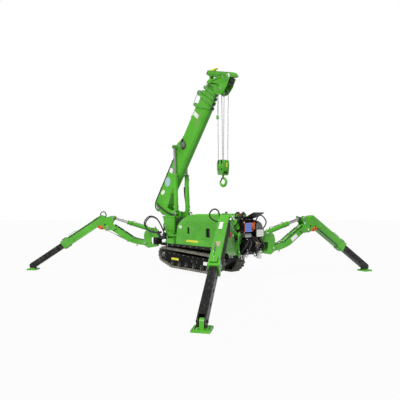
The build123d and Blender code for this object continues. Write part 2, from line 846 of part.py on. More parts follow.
# Hook on its swivelling shank, held by a nut over the crosshead, with a sprung latch
hook_z = block_z - 240
with BuildPart() as hook:
    with BuildSketch(level(hook_z + 48)):
        with Locations((sheave_x, 0)):
            Circle(16)
    extrude(amount=block_z - 96 - hook_z - 48)
    with BuildSketch(level(block_z - 112 + running_gap)):
        with Locations((sheave_x, 0)):
            RegularPolygon(24, 6)
    extrude(amount=14)
    with BuildSketch(side_plane(0)):
        with Locations((sheave_x + 4, hook_z - 6)):
            Ellipse(84, 76)
        with Locations((sheave_x - 2, hook_z + 2)):
            Ellipse(46, 44, mode=Mode.SUBTRACT)
        with Locations((sheave_x - 70, hook_z + 30)):
            Rectangle(90, 52, rotation=-20, mode=Mode.SUBTRACT)
        with Locations((sheave_x, hook_z + 60)):
            Rectangle(36, 40)
    extrude(amount=15, both=True)
    with BuildSketch(side_plane(0)):
        with BuildLine():
            Polyline((sheave_x - 14, hook_z + 56), (sheave_x - 30, hook_z + 58), (sheave_x - 72, hook_z - 4),
                     (sheave_x - 60, hook_z - 10), (sheave_x - 14, hook_z + 56))
        make_face()
    extrude(amount=7, both=True)
hook.part.label = "hook"
export_step(hook.part, "parts/hook.step")

# Outriggers
lift_angle = atan2(lift_pin[1] - lift_base[1], lift_pin[0] - lift_base[0])
lift_span = hypot(lift_pin[1] - lift_base[1], lift_pin[0] - lift_base[0])
shin_angle = atan2(ankle[1] - shin_top[1], ankle[0] - shin_top[0])
ankle_along = hypot(ankle[1] - shin_top[1], ankle[0] - shin_top[0])
plate_y = swivel_gap / 2 + swivel_plate / 2
cheek_offset = cheek_gap / 2 + cheek_thickness / 2

swivel_outline = [(-52, hub_high_z + 8), (-60, 610), (-40, 690), (10, 735), (90, 742), (160, 720), (208, 670),
                  (222, 600), (212, 530), (228, 470), (200, 425), (138, 384), (60, 398), (-40, 416),
                  (-46, hub_low_z - 8), (78, hub_low_z - 8), (92, 500), (92, hub_high_z + 8),
                  (-52, hub_high_z + 8)]
thigh_outline = [(160, 440), (215, 432), (330, 448), (419, 472), (520, 512), (790, 697), (806, 730), (806, 800),
                 (797, 830), (533, 658), (397, 568), (300, 540), (200, 522), (160, 500), (160, 440)]
cheek_plate = [(700, 730), (770, 700), (880, 703), (935, 722), (1010, 775), (1000, 850), (985, 890), (965, 905),
               (815, 955), (745, 962), (735, 925), (790, 835), (700, 730)]

for name, end, side, heading in legs:
    plane = leg_plane(end, side, heading)
    place = (end, side, heading)

    # Swivel: a post through the corner block, and two shaped plates joined by webs above and below
    with BuildPart() as swivel:
        with BuildSketch(level(hub_low_z - 30)):
            with Locations((end * swivel_x, side * swivel_y)):
                Circle(post_r)
        extrude(amount=hub_high_z - hub_low_z + 60)
        for offset_y in (-plate_y, plate_y):
            with BuildSketch(leg_plane(end, side, heading, offset_y)):
                with BuildLine():
                    Polyline(*swivel_outline)
                make_face()
            extrude(amount=swivel_plate / 2, both=True)
        with BuildSketch(plane):
            with Locations((0, hub_high_z + 28), (0, hub_low_z - 22)):
                Rectangle(90, 28)
            with Locations((130, 560)):
                Rectangle(40, 90)
            with Locations((lift_base[0], lift_base[1]), thigh_root):
                Circle(leg_pin_r)
        extrude(amount=swivel_gap / 2, both=True)
    swivel.part.label = f"swivel_{name}"
    export_step(swivel.part, f"parts/swivel_{name}.step")

    # Thigh: a bent box beam with a pair of end plates for the knee and the lift cylinder
    with BuildPart() as thigh:
        with BuildSketch(plane):
            with BuildLine():
                Polyline(*thigh_outline)
            make_face()
            with Locations(thigh_root):
                Circle(38)
        extrude(amount=thigh_width / 2, both=True)
        with BuildSketch(plane):
            with Locations(thigh_root):
                Circle(leg_pin_r + running_gap)
        extrude(amount=thigh_width, both=True, mode=Mode.SUBTRACT)
        for offset_y in (-cheek_offset, cheek_offset):
            with BuildSketch(leg_plane(end, side, heading, offset_y)):
                with BuildLine():
                    Polyline(*cheek_plate)
                make_face()
            extrude(amount=cheek_thickness / 2, both=True)
        with BuildSketch(plane):
            with BuildLine():
                Polyline((700, 730), (770, 700), (795, 712), (790, 800), (700, 730))
            make_face()
            with Locations(knee_pin):
                Circle(18)
        extrude(amount=cheek_gap / 2, both=True)
        for offset_y in (-cheek_offset - 9, cheek_offset + 9):
            with BuildSketch(leg_plane(end, side, heading, offset_y)):
                with Locations(knee_pin):
                    Circle(24)
                with Locations(lift_pin):
                    Circle(20)
            extrude(amount=4, both=True)
    thigh.part.label = f"thigh_{name}"
    export_step(thigh.part, f"parts/thigh_{name}.step")

    with BuildPart() as lift_barrel:
        with BuildSketch(plane):
            with Locations(lift_base):
                Circle(30)
        extrude(amount=36, both=True)
        with BuildSketch(leg_cross(*place, lift_base, lift_angle, 20)):
            Circle(lift_barrel_r)
        extrude(amount=lift_barrel_length - 20)
        with BuildSketch(leg_cross(*place, lift_base, lift_angle, lift_barrel_length - 26)):
            Circle(lift_barrel_r + 3)
        extrude(amount=26)
        with BuildSketch(leg_cross(*place, lift_base, lift_angle, 36)):
            Circle(lift_rod_r + running_gap)
        extrude(amount=lift_barrel_length, mode=Mode.SUBTRACT)
        with BuildSketch(plane):
            with Locations(lift_base):
                Circle(leg_pin_r + running_gap)
        extrude(amount=40, both=True, mode=Mode.SUBTRACT)
    lift_barrel.part.label = f"lift_barrel_{name}"
    export_step(lift_barrel.part, f"parts/lift_barrel_{name}.step")

    with BuildPart() as lift_rod:
        with BuildSketch(leg_cross(*place, lift_base, lift_angle, lift_span - lift_rod_length)):
            Circle(lift_rod_r)
        extrude(amount=lift_rod_length)
        with BuildSketch(plane):
            with Locations(lift_pin):
                Circle(30)
        extrude(amount=34, both=True)
        with BuildSketch(plane):
            with Locations(lift_pin):
                Circle(leg_pin_r)
        extrude(amount=cheek_gap / 2 - running_gap, both=True)
    lift_rod.part.label = f"lift_rod_{name}"
    export_step(lift_rod.part, f"parts/lift_rod_{name}.step")

    # Shin: a square tube with a tongue back to the knee pin, a cap on its top end and a collar
    # that guides the inner leg at its foot
    with BuildPart() as shin:
        with BuildSketch(leg_cross(*place, shin_top, shin_angle, 0)):
            Rectangle(shin_width, shin_depth)
        extrude(amount=shin_length)
        with BuildSketch(leg_cross(*place, shin_top, shin_angle, shin_length - 120)):
            with Locations((0, 10)):
                Rectangle(shin_width - 20, shin_depth + 12)
        extrude(amount=110)
        with BuildSketch(leg_cross(*place, shin_top, shin_angle, 110)):
            Rectangle(inner_width + 12, inner_depth + 12)
        extrude(amount=shin_length - 160, mode=Mode.SUBTRACT)
        with BuildSketch(leg_cross(*place, shin_top, shin_angle, shin_length - 60)):
            Rectangle(inner_width + 2 * running_gap, inner_depth + 2 * running_gap)
        extrude(amount=80, mode=Mode.SUBTRACT)
        with BuildSketch(plane):
            with BuildLine():
                Polyline((838, 772), (930, 870), (1030, 900), (1100, 790), (1040, 748), (900, 712), (838, 772))
            make_face()
            with Locations(knee_pin):
                Circle(40)
        extrude(amount=46, both=True)
        with BuildSketch(plane):
            with Locations(knee_pin):
                Circle(18 + running_gap)
        extrude(amount=80, both=True, mode=Mode.SUBTRACT)
    shin.part.label = f"shin_{name}"
    export_step(shin.part, f"parts/shin_{name}.step")

    with BuildPart() as inner_leg:
        with BuildSketch(leg_cross(*place, shin_top, shin_angle, shin_length - inner_overlap)):
            Rectangle(inner_width, inner_depth)
        extrude(amount=ankle_along - shin_length + inner_overlap)
        with BuildSketch(plane):
            with Locations(ankle):
                Circle(inner_depth / 2)
        extrude(amount=inner_width / 2, both=True)
        with BuildSketch(plane):
            with Locations(ankle):
                Circle(inner_depth / 2 + 10)
        extrude(amount=fork_half_gap, both=True, mode=Mode.SUBTRACT)
        with BuildSketch(plane):
            with Locations(ankle):
                Circle(pad_pin_r + running_gap)
        extrude(amount=inner_width, both=True, mode=Mode.SUBTRACT)
    inner_leg.part.label = f"inner_leg_{name}"
    export_step(inner_leg.part, f"parts/inner_leg_{name}.step")

    # Foot pad: a square plate with a rounded lug in the leg's fork, on a pin through both
    with BuildPart() as foot_pad:
        with BuildSketch(plane):
            with Locations((ankle[0], pad_thickness / 2)):
                Rectangle(pad_size, pad_thickness)
        extrude(amount=pad_size / 2, both=True)
        with BuildSketch(plane):
            with Locations(ankle):
                Circle(pad_lug_r)
            with Locations((ankle[0], ankle[1] / 2)):
                Rectangle(2 * pad_lug_r, ankle[1])
        extrude(amount=fork_half_gap - 6, both=True)
        with BuildSketch(plane):
            with Locations(ankle):
                Circle(pad_pin_r)
        extrude(amount=inner_width / 2 + 8, both=True)
    foot_pad.part.label = f"foot_pad_{name}"
    export_step(foot_pad.part, f"parts/foot_pad_{name}.step")
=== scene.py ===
from math import atan2, cos, pi, radians, sin

import bmesh
import bpy
from mathutils import Matrix, Vector


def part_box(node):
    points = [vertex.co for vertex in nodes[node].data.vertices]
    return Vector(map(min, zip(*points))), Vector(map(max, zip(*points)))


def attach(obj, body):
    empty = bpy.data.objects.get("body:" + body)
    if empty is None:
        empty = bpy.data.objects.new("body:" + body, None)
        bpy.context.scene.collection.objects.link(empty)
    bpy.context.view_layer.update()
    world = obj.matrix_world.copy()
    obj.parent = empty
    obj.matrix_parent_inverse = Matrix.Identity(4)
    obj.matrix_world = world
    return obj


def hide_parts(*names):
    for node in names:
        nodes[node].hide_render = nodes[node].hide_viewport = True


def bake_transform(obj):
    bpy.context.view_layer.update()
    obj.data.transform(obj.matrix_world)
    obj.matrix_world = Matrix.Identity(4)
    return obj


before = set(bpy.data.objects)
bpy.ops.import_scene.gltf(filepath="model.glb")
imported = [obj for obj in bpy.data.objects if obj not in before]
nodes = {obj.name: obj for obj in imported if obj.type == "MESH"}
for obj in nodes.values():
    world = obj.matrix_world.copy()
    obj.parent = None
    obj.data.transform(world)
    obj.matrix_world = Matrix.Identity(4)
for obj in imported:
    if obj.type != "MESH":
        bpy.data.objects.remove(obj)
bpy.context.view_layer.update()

# Metres. Places on the machine are given from its own middle; the frame's origin lies beside it.
belt_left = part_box("track_belt_left")
belt_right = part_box("track_belt_right")
mid_x = 0.015308
mid_y = (belt_left[1].y + belt_right[0].y) / 2

swivel_x = 1.0
swivel_y = 0.265
boom_angle = radians(53.3)
pivot = (-1.19, 1.12)
slew_x = -0.73

# Columns: name, end along X, side along Y, heading of the leg from +X
legs = [
    ("front_right", 1, -1, radians(-53.2)),
    ("front_left", 1, 1, radians(75.4)),
    ("rear_right", -1, -1, radians(-127.8)),
    ("rear_left", -1, 1, radians(127.8)),
]


# Places

def basis(origin, x_dir, y_dir):
    # A matrix whose columns are two given directions and their normal, at the origin
    x_dir = Vector(x_dir).normalized()
    y_dir = Vector(y_dir).normalized()
    normal = x_dir.cross(y_dir)
    turn = Matrix((x_dir, y_dir, normal)).transposed().to_4x4()
    return Matrix.Translation(Vector(origin)) @ turn


def machine(x, y, z):
    return Vector((x + mid_x, y + mid_y, z))


def side_frame(y):
    # x runs along the machine, y is the height, and the normal points to its right side
    return basis(machine(0, y, 0), (1, 0, 0), (0, 0, 1))


def cross_frame(x):
    # x runs to the machine's left, y is the height, and the normal points to its front
    return basis(machine(x, 0, 0), (0, 1, 0), (0, 0, 1))


def top_frame(z):
    return basis(machine(0, 0, z), (1, 0, 0), (0, 1, 0))


def boom_frame(y):
    # x runs along the boom from its pivot, y to its upper side, and the normal to its right side
    along = (cos(boom_angle), 0, sin(boom_angle))
    up = (-sin(boom_angle), 0, cos(boom_angle))
    return basis(machine(pivot[0], y, pivot[1]), along, up)


def boom_cross_frame(along):
    # Square to the boom: x to the machine's left, y to the boom's upper side
    spot = machine(pivot[0] + along * cos(boom_angle), 0, pivot[1] + along * sin(boom_angle))
    return basis(spot, (0, 1, 0), (-sin(boom_angle), 0, cos(boom_angle)))


def leg_frame(leg, offset=0.0):
    # The leg's own upright plane: x is the distance out from the swivel, y is the height
    end, side, heading = leg[1:]
    spot = machine(end * swivel_x, side * swivel_y, 0)
    spot += Vector((sin(heading), -cos(heading), 0)) * offset
    return basis(spot, (cos(heading), sin(heading), 0), (0, 0, 1))


def leg_cross_frame(leg, start, angle, along):
    # Square to a line in the leg's plane: x sideways, y to the line's upper side
    spot = leg_frame(leg) @ Vector((start[0] + along * cos(angle), start[1] + along * sin(angle), 0))
    heading = leg[3]
    upper = (-sin(angle) * cos(heading), -sin(angle) * sin(heading), cos(angle))
    return basis(spot, (-sin(heading), cos(heading), 0), upper)


# Shapes

def new_object(name, mesh):
    made = bpy.data.objects.new(name, mesh)
    bpy.context.scene.collection.objects.link(made)
    return made


class Shape:
    # Gathers parts into one mesh, which becomes one piece

    def __init__(self):
        self.bm = bmesh.new()

    def plate(self, place, outline, low, high, bevel=0.0, steps=2):
        # A closed outline drawn out between two heights along its frame's normal
        floor = [self.bm.verts.new(place @ Vector((x, y, low))) for x, y in outline]
        face = self.bm.faces.new(floor)
        made = bmesh.ops.extrude_face_region(self.bm, geom=[face])
        verts = [v for v in made["geom"] if isinstance(v, bmesh.types.BMVert)]
        shift = place.to_3x3() @ Vector((0, 0, high - low))
        bmesh.ops.translate(self.bm, verts=verts, vec=shift)
        if bevel > 0:
            both = set(floor) | set(verts)
            edges = [e for e in self.bm.edges if e.verts[0] in both and e.verts[1] in both]
            bmesh.ops.bevel(self.bm, geom=edges, offset=bevel, segments=steps, profile=0.6, affect="EDGES",
                clamp_overlap=True)

    def block(self, place, centre, size, low, high, bevel=0.002, steps=2):
        x, y = centre
        w, h = size[0] / 2, size[1] / 2
        outline = [(x - w, y - h), (x + w, y - h), (x + w, y + h), (x - w, y + h)]
        self.plate(place, outline, low, high, bevel, steps)

    def lathe(self, place, centre, profile, segments=32):
        # A profile of (radius, height) pairs turned round its frame's normal
        rings = []
        for radius, height in profile:
            ring = []
            for k in range(segments):
                a = 2 * pi * k / segments
                spot = Vector((centre[0] + radius * cos(a), centre[1] + radius * sin(a), height))
                ring.append(self.bm.verts.new(place @ spot))
            rings.append(ring)
        for low, high in zip(rings, rings[1:]):
            for k in range(segments):
                n = (k + 1) % segments
                self.bm.faces.new((low[k], low[n], high[n], high[k]))
        self.bm.faces.new(list(reversed(rings[0])))
        self.bm.faces.new(rings[-1])

    def bolt(self, place, centre, radius, base, height=None, turn=0.0):
        # A six-sided head with a chamfered top on a thin washer
        height = height or radius * 1.1
        self.lathe(place, centre, [(radius * 1.35, base), (radius * 1.35, base + radius * 0.25)], 20)
        outline = [(centre[0] + radius * cos(pi / 3 * k + turn), centre[1] + radius * sin(pi / 3 * k + turn))
            for k in range(6)]
        self.plate(place, outline, base, base + height, radius * 0.14, 1)

    def tube(self, points, radius, sides=12, closed=False):
        # A round tube that follows the points given
        count = len(points)
        points = [Vector(p) for p in points]
        rings = []
        side = None
        for k, spot in enumerate(points):
            ahead = points[(k + 1) % count] if (closed or k < count - 1) else spot
            behind = points[k - 1] if (closed or k > 0) else spot
            along = (ahead - behind).normalized()
            if side is None:
                side = along.orthogonal().normalized()
            side = (side - along * side.dot(along)).normalized()
            other = along.cross(side)
            ring = []
            for n in range(sides):
                a = 2 * pi * n / sides
                ring.append(self.bm.verts.new(spot + (side * cos(a) + other * sin(a)) * radius))
            rings.append(ring)
        pairs = list(zip(rings, rings[1:]))
        if closed:
            pairs.append((rings[-1], rings[0]))
        for low, high in pairs:
            for n in range(sides):
                m = (n + 1) % sides
                self.bm.faces.new((low[n], low[m], high[m], high[n]))
        if not closed:
            self.bm.faces.new(list(reversed(rings[0])))
            self.bm.faces.new(rings[-1])

    def build(self, name, material, slot=None, smooth=35.0):
        # The finished piece; its slot, its own or else its material's usual one, is looked up but not kept
        bmesh.ops.recalc_face_normals(self.bm, faces=self.bm.faces[:])
        mesh = bpy.data.meshes.new(name)
        self.bm.to_mesh(mesh)
        self.bm.free()
        made = new_object(name, mesh)
        mesh.materials.append(material)
        mesh.shade_smooth()
        mesh.set_sharp_from_angle(angle=radians(smooth))
        slot = slot or slots[material.name]
        return made

    def finish(self, name, body, material, slot=None, smooth=35.0, replaces=()):
        made = self.build(name, material, slot, smooth)
        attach(made, body)
        if replaces:
            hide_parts(*replaces)


def smooth_line(points, steps=8):
    # A Catmull-Rom line through the points
    points = [Vector(p) for p in points]
    ends = [points[0] * 2 - points[1]] + points + [points[-1] * 2 - points[-2]]
    line = []
    for a, b, c, d in zip(ends, ends[1:], ends[2:], ends[3:]):
        for k in range(steps):
            t = k / steps
            spot = b * 2 + (c - a) * t + (a * 2 - b * 5 + c * 4 - d) * t ** 2
            spot += (b * 3 - a - c * 3 + d) * t ** 3
            line.append(spot / 2)
    line.append(points[-1])
    return line


def arc_points(centre, radius, start, end, count):
    return [(centre[0] + radius * cos(start + (end - start) * k / count), centre[1]
        + radius * sin(start + (end - start) * k / count)) for k in range(count + 1)]


# Materials: every one has its own nodes

class Nodes:
    def __init__(self, name):
        self.material = bpy.data.materials.new(name)
        self.material.use_nodes = True
        self.tree = self.material.node_tree
        self.shader = self.tree.nodes["Principled BSDF"]
        self.place = self.add("ShaderNodeTexCoord").outputs["Object"]

    def add(self, kind, **settings):
        node = self.tree.nodes.new(kind)
        for key, value in settings.items():
            setattr(node, key, value)
        return node

    def link(self, a, b):
        self.tree.links.new(a, b)

    def noise(self, scale, detail=4.0, rough=0.6, place=None):
        node = self.add("ShaderNodeTexNoise")
        node.inputs["Scale"].default_value = scale
        node.inputs["Detail"].default_value = detail
        node.inputs["Roughness"].default_value = rough
        self.link(place or self.place, node.inputs["Vector"])
        return node.outputs["Fac"]

    def ramp(self, value, stops):
        node = self.add("ShaderNodeValToRGB")
        ramp = node.color_ramp
        ramp.elements[0].position = stops[0][0]
        ramp.elements[0].color = (*stops[0][1], 1)
        ramp.elements[1].position = stops[-1][0]
        ramp.elements[1].color = (*stops[-1][1], 1)
        for position, colour in stops[1:-1]:
            ramp.elements.new(position).color = (*colour, 1)
        self.link(value, node.inputs["Fac"])
        return node.outputs["Color"]

    def grey_ramp(self, value, low, high, a=0.0, b=1.0):
        return self.ramp(value, [(low, (a, a, a)), (high, (b, b, b))])

    def mix(self, fac, a, b):
        node = self.add("ShaderNodeMix", data_type="RGBA")
        self.link(fac, node.inputs["Factor"])
        for value, socket in ((a, node.inputs[6]), (b, node.inputs[7])):
            if isinstance(value, tuple):
                socket.default_value = (*value, 1)
            else:
                self.link(value, socket)
        return node.outputs[2]

    def math(self, kind, a, b):
        node = self.add("ShaderNodeMath", operation=kind)
        for value, socket in ((a, node.inputs[0]), (b, node.inputs[1])):
            if isinstance(value, (int, float)):
                socket.default_value = value
            else:
                self.link(value, socket)
        return node.outputs[0]

    def bump(self, height, distance, strength=1.0):
        node = self.add("ShaderNodeBump")
        node.inputs["Distance"].default_value = distance
        node.inputs["Strength"].default_value = strength
        self.link(height, node.inputs["Height"])
        if self.shader.inputs["Normal"].links:
            self.link(self.shader.inputs["Normal"].links[0].from_socket, node.inputs["Normal"])
        self.link(node.outputs["Normal"], self.shader.inputs["Normal"])

    def edge(self, low=0.52, high=0.62):
        # Near one on worn convex edges
        geometry = self.add("ShaderNodeNewGeometry")
        return self.grey_ramp(geometry.outputs["Pointiness"], low, high)

    def set(self, **values):
        for key, value in values.items():
            socket = self.shader.inputs[key.replace("_", " ")]
            if isinstance(value, tuple):
                socket.default_value = (*value, 1)
            elif isinstance(value, (int, float)):
                socket.default_value = value
            else:
                self.link(value, socket)


def painted(name, colour, rough, dust=0.25, wear=0.5, coat=0.25, shine=0.5):
    # Machine enamel: slow colour drift, fine orange peel, dust that settles in patches, and
    # thin wear on the edges
    n = Nodes(name)
    deep = tuple(c * 0.8 for c in colour)
    pale = tuple(min(1.0, c * 1.14 + 0.004) for c in colour)
    drift = n.ramp(n.noise(2.2, 3.0), [(0.32, deep), (0.5, colour), (0.7, pale)])
    specks = n.grey_ramp(n.noise(46.0, 8.0, 0.7), 0.58, 0.72)
    patches = n.grey_ramp(n.noise(5.5, 6.0, 0.65), 0.5, 0.74)
    dusty = n.math("MULTIPLY", n.math("MULTIPLY", specks, patches), dust)
    coloured = n.mix(dusty, drift, (0.42, 0.4, 0.34))
    worn = n.math("MULTIPLY", n.math("MULTIPLY", n.edge(), n.grey_ramp(n.noise(30.0, 6.0), 0.48, 0.62)), wear)
    n.set(Base_Color=n.mix(worn, coloured, (0.3, 0.31, 0.3)))
    n.set(Roughness=n.grey_ramp(n.noise(9.0, 7.0, 0.7), 0.3, 0.7, rough - 0.07, rough + 0.12))
    n.set(Coat_Weight=coat, Coat_Roughness=0.12, Specular_IOR_Level=shine)
    n.bump(n.noise(420.0, 2.0, 0.5), 0.00022, 0.35)
    return n.material


def orange_plastic():
    n = Nodes("orange_moulded_plastic")
    tone = n.ramp(n.noise(12.0, 5.0), [(0.3, (0.62, 0.11, 0.02)), (0.7, (0.74, 0.155, 0.035))])
    n.set(Base_Color=tone, Roughness=n.grey_ramp(n.noise(30.0), 0.3, 0.7, 0.38, 0.52))
    n.bump(n.noise(900.0, 2.0), 0.00012, 0.5)
    return n.material


def belt_rubber():
    # Pale, dried rubber with darker scuffs and fine cracks
    n = Nodes("belt_rubber")
    tone = n.ramp(n.noise(7.0, 8.0, 0.65), [(0.3, (0.09, 0.088, 0.068)), (0.5, (0.165, 0.16, 0.13)),
        (0.72, (0.28, 0.27, 0.235))])
    scuff = n.grey_ramp(n.noise(38.0, 8.0, 0.75), 0.52, 0.66)
    n.set(Base_Color=n.mix(n.math("MULTIPLY", scuff, 0.55), tone, (0.1, 0.095, 0.085)))
    n.set(Roughness=n.grey_ramp(n.noise(20.0), 0.3, 0.7, 0.72, 0.92))
    n.bump(n.noise(160.0, 8.0, 0.7), 0.0009, 0.6)
    n.bump(n.noise(22.0, 5.0), 0.002, 0.35)
    return n.material


def metal(name, colour, rough, spread=0.12, scratch=240.0, metallic=1.0):
    # Bare metal with soft brushing and darker spots of grime
    n = Nodes(name)
    stretch = n.add("ShaderNodeMapping")
    stretch.inputs["Scale"].default_value = (1.0, 1.0, 0.06)
    n.link(n.place, stretch.inputs["Vector"])
    brushed = n.noise(scratch, 4.0, 0.6, stretch.outputs["Vector"])
    grime = n.grey_ramp(n.noise(24.0, 8.0, 0.7), 0.52, 0.7)
    dark = tuple(c * 0.45 for c in colour)
    n.set(Base_Color=n.mix(n.math("MULTIPLY", grime, 0.55), colour, dark), Metallic=metallic)
    n.set(Roughness=n.grey_ramp(brushed, 0.3, 0.7, max(0.04, rough - spread), rough + spread))
    n.bump(brushed, 0.0001, 0.25)
    return n.material


def wire_rope():
    # Strands laid slantwise round the rope
    n = Nodes("wire_rope")
    wave = n.add("ShaderNodeTexWave", wave_type="BANDS", bands_direction="DIAGONAL")
    wave.inputs["Scale"].default_value = 95.0
    wave.inputs["Distortion"].default_value = 0.4
    n.link(n.place, wave.inputs["Vector"])
    tone = n.ramp(wave.outputs["Fac"], [(0.1, (0.16, 0.16, 0.16)), (0.9, (0.62, 0.62, 0.61))])
    n.set(Base_Color=tone, Metallic=0.75, Roughness=n.grey_ramp(n.noise(80.0), 0.3, 0.7, 0.32, 0.55))
    n.bump(wave.outputs["Fac"], 0.0016, 0.9)
    return n.material


def hose_rubber():
    n = Nodes("hose_rubber")
    tone = n.ramp(n.noise(26.0, 6.0), [(0.35, (0.01, 0.01, 0.011)), (0.75, (0.034, 0.034, 0.034))])
    n.set(Base_Color=tone, Roughness=n.grey_ramp(n.noise(40.0), 0.3, 0.7, 0.42, 0.64))
    n.bump(n.noise(700.0, 3.0), 0.0003, 0.5)
    return n.material


def moulded(name, colour, rough=0.5, drift=0.12):
    # Moulded or printed surface with a fine grain and slight yellowing
    n = Nodes(name)
    low = tuple(c * (1 - drift) for c in colour)
    tone = n.ramp(n.noise(18.0, 6.0, 0.6), [(0.3, low), (0.7, colour)])
    stain = n.math("MULTIPLY", n.grey_ramp(n.noise(60.0, 6.0, 0.7), 0.56, 0.74), 0.18)
    n.set(Base_Color=n.mix(stain, tone, (0.2, 0.18, 0.14)))
    n.set(Roughness=n.grey_ramp(n.noise(35.0), 0.3, 0.7, rough - 0.08, rough + 0.1))
    n.bump(n.noise(600.0, 2.0), 0.00015, 0.4)
    return n.material


def screen_glass():
    # A lit display behind glass, with soft bands and no words
    n = Nodes("screen_glass")
    bands = n.add("ShaderNodeTexWave", wave_type="BANDS", bands_direction="Z")
    bands.inputs["Scale"].default_value = 9.0
    n.link(n.place, bands.inputs["Vector"])
    tone = n.ramp(bands.outputs["Fac"], [(0.25, (0.03, 0.085, 0.42)), (0.75, (0.075, 0.2, 0.62))])
    n.set(Base_Color=tone, Roughness=n.grey_ramp(n.noise(50.0), 0.3, 0.7, 0.08, 0.16))
    n.set(Emission_Color=tone, Emission_Strength=0.25, Coat_Weight=0.8)
    n.bump(n.noise(300.0, 2.0), 0.00005, 0.2)
    return n.material


green = painted("green_enamel", (0.086, 0.425, 0.024), 0.38, 0.04, 0.25, 0.1, 0.3)
black = painted("black_enamel", (0.0055, 0.0053, 0.0046), 0.48, 0.015, 0.15, 0.0, 0.08)
slate = painted("slate_leg_enamel", (0.012, 0.012, 0.0115), 0.36, 0.02, 0.15, 0.0, 0.2)
orange = orange_plastic()
rubber = belt_rubber()
steel = metal("zinc_steel", (0.46, 0.47, 0.47), 0.34)
dark_steel = metal("oily_dark_steel", (0.1, 0.1, 0.105), 0.4, 0.14, 300.0, 0.8)
roller_steel = metal("worn_roller_steel", (0.12, 0.118, 0.112), 0.4, 0.14, 300.0, 0.7)
strut_grey = metal("grey_strut", (0.36, 0.37, 0.38), 0.36)
bright = metal("worn_bright_steel", (0.6, 0.6, 0.59), 0.28)
rope = wire_rope()
hose = hose_rubber()
white = moulded("white_plate", (0.9, 0.91, 0.89), 0.42)
yellow = moulded("yellow_film", (0.76, 0.74, 0.05), 0.45)
cyan = moulded("pale_film", (0.42, 0.62, 0.66), 0.4)
red = moulded("red_knob", (0.5, 0.03, 0.02), 0.36)
tan = moulded("tan_moulding", (0.48, 0.4, 0.27), 0.55)
grey = moulded("grey_moulding", (0.17, 0.19, 0.18), 0.5)
soft_black = moulded("black_moulding", (0.016, 0.016, 0.017), 0.5, 0.3)
screen = screen_glass()

# The slot each material takes, where a piece names no other
usual_slots = {
    "green_paint": (green,),
    "black_paint": (black, soft_black, grey, hose, roller_steel, dark_steel),
    "white_dial": (white, yellow, cyan, tan),
    "chrome_rod": (steel, bright, strut_grey),
    "orange_housing": (orange, red),
    "blue_screen": (screen,),
    "wire_rope": (rope,),
}
slots = {material.name: slot for slot, group in usual_slots.items() for material in group}

# CAD nodes keep their shape and take these materials
# Columns: start of the node's name, material
coats = [
    ("track_belt", rubber),
    ("track_frame", black),
    ("chassis_frame", black),
    ("slew_base", green),
    ("engine_cover", green),
    ("engine_block", dark_steel),
    ("console_box", black),
    ("console_lid", soft_black),
    ("plate_box", white),
    ("display_unit", orange),
    ("display_screen", screen),
    ("lever_bank", soft_black),
    ("column", green),
    ("winch_drum", dark_steel),
    ("boom", green),
    ("angle_dial", white),
    ("head_sheaves", green),
    ("luff_barrels", green),
    ("luff_rods", bright),
    ("hoist_ropes", rope),
    ("hook", green),
    ("swivel", green),
    ("thigh", green),
    ("lift_barrel", green),
    ("lift_rod", bright),
    ("shin", green),
    ("inner_leg", slate),
    ("foot_pad", green),
]
for name, node in nodes.items():
    for start, material in coats:
        if name.startswith(start):
            node.data.materials.clear()
            node.data.materials.append(material)
    bevel = node.modifiers.new("soft edges", "BEVEL")
    bevel.width = 0.0018
    bevel.segments = 2
    bevel.limit_method = "ANGLE"
    bevel.angle_limit = radians(35)
    bevel.harden_normals = True


# Lengths in metres on the machine's own middle, as the CAD has them
roof_z = 0.997
console_x = 1.11
# How far out to the side: the deck's edge, the boom's side, the head's cheeks, the luffing
# cylinders and the falls
deck_side = 0.28
boom_side = 0.068
cheek_side = 0.071
luff_side = 0.128
fall_side = 0.046
# How far the falls stand from the sheaves' middle, below at the block and above at the head
fall_low, fall_high = 0.0553, 0.0763
roller_z = 0.162
roller_xs = (-0.47, -0.28, -0.09, 0.1, 0.29, 0.44)
luff_foot = (-0.58, 1.0)
rear_wheel = (-0.755, 0.289)
front_wheel = (0.53, 0.25)
# Columns: middle along X, middle height, width, height of each vent in the cover
vents = ((-0.056, 0.726, 0.052, 0.104), (0.424, 0.702, 0.088, 0.138))


def along_line(start, angle, along, up):
    # A place by its distance along a line and square to it
    return (start[0] + along * cos(angle) - up * sin(angle), start[1] + along * sin(angle) + up * cos(angle))


def mirrored(place):
    return place @ Matrix.Scale(-1, 4, (0, 0, 1))


def both_sides(at, y):
    # The same place on the machine's right and left sides, each with its normal outward
    return (at(-y), mirrored(at(y)))


def ring_spots(centre, radius, count, turn=0.0):
    # Angle and place of each of the spots round a circle
    for k in range(count):
        a = 2 * pi * k / count + turn
        yield a, (centre[0] + radius * cos(a), centre[1] + radius * sin(a))


def hexagon(centre, radius):
    return [(centre[0] + radius * cos(pi / 3 * k), centre[1] + radius * sin(pi / 3 * k)) for k in range(6)]


def machine_line(points):
    return [machine(*p) for p in points]


def pin_head(shape, place, centre, base, radius):
    # Washer, then a pin's end with a chamfer
    shape.lathe(place, centre, [(radius * 1.45, base - 0.002), (radius * 1.45, base + 0.003),
        (radius, base + 0.004), (radius, base + 0.01), (radius * 0.82, base + 0.013)], 28)


def label(shape, place, centre, size, base, turn=0.0, corner=0.004):
    # A thin film with rounded corners
    w, h = size[0] / 2 - corner, size[1] / 2 - corner
    outline = []
    for x, y, a in ((w, h, 0), (-w, h, pi / 2), (-w, -h, pi), (w, -h, 1.5 * pi)):
        outline += arc_points((x, y), corner, a, a + pi / 2, 4)
    outline = [(centre[0] + x * cos(turn) - y * sin(turn), centre[1] + x * sin(turn) + y * cos(turn))
        for x, y in outline]
    shape.plate(place, outline, base - 0.001, base + 0.0012)


def add_film(name, body, material, *where):
    # A piece of its own that is one label
    film = Shape()
    label(film, *where)
    film.finish(name, body, material)


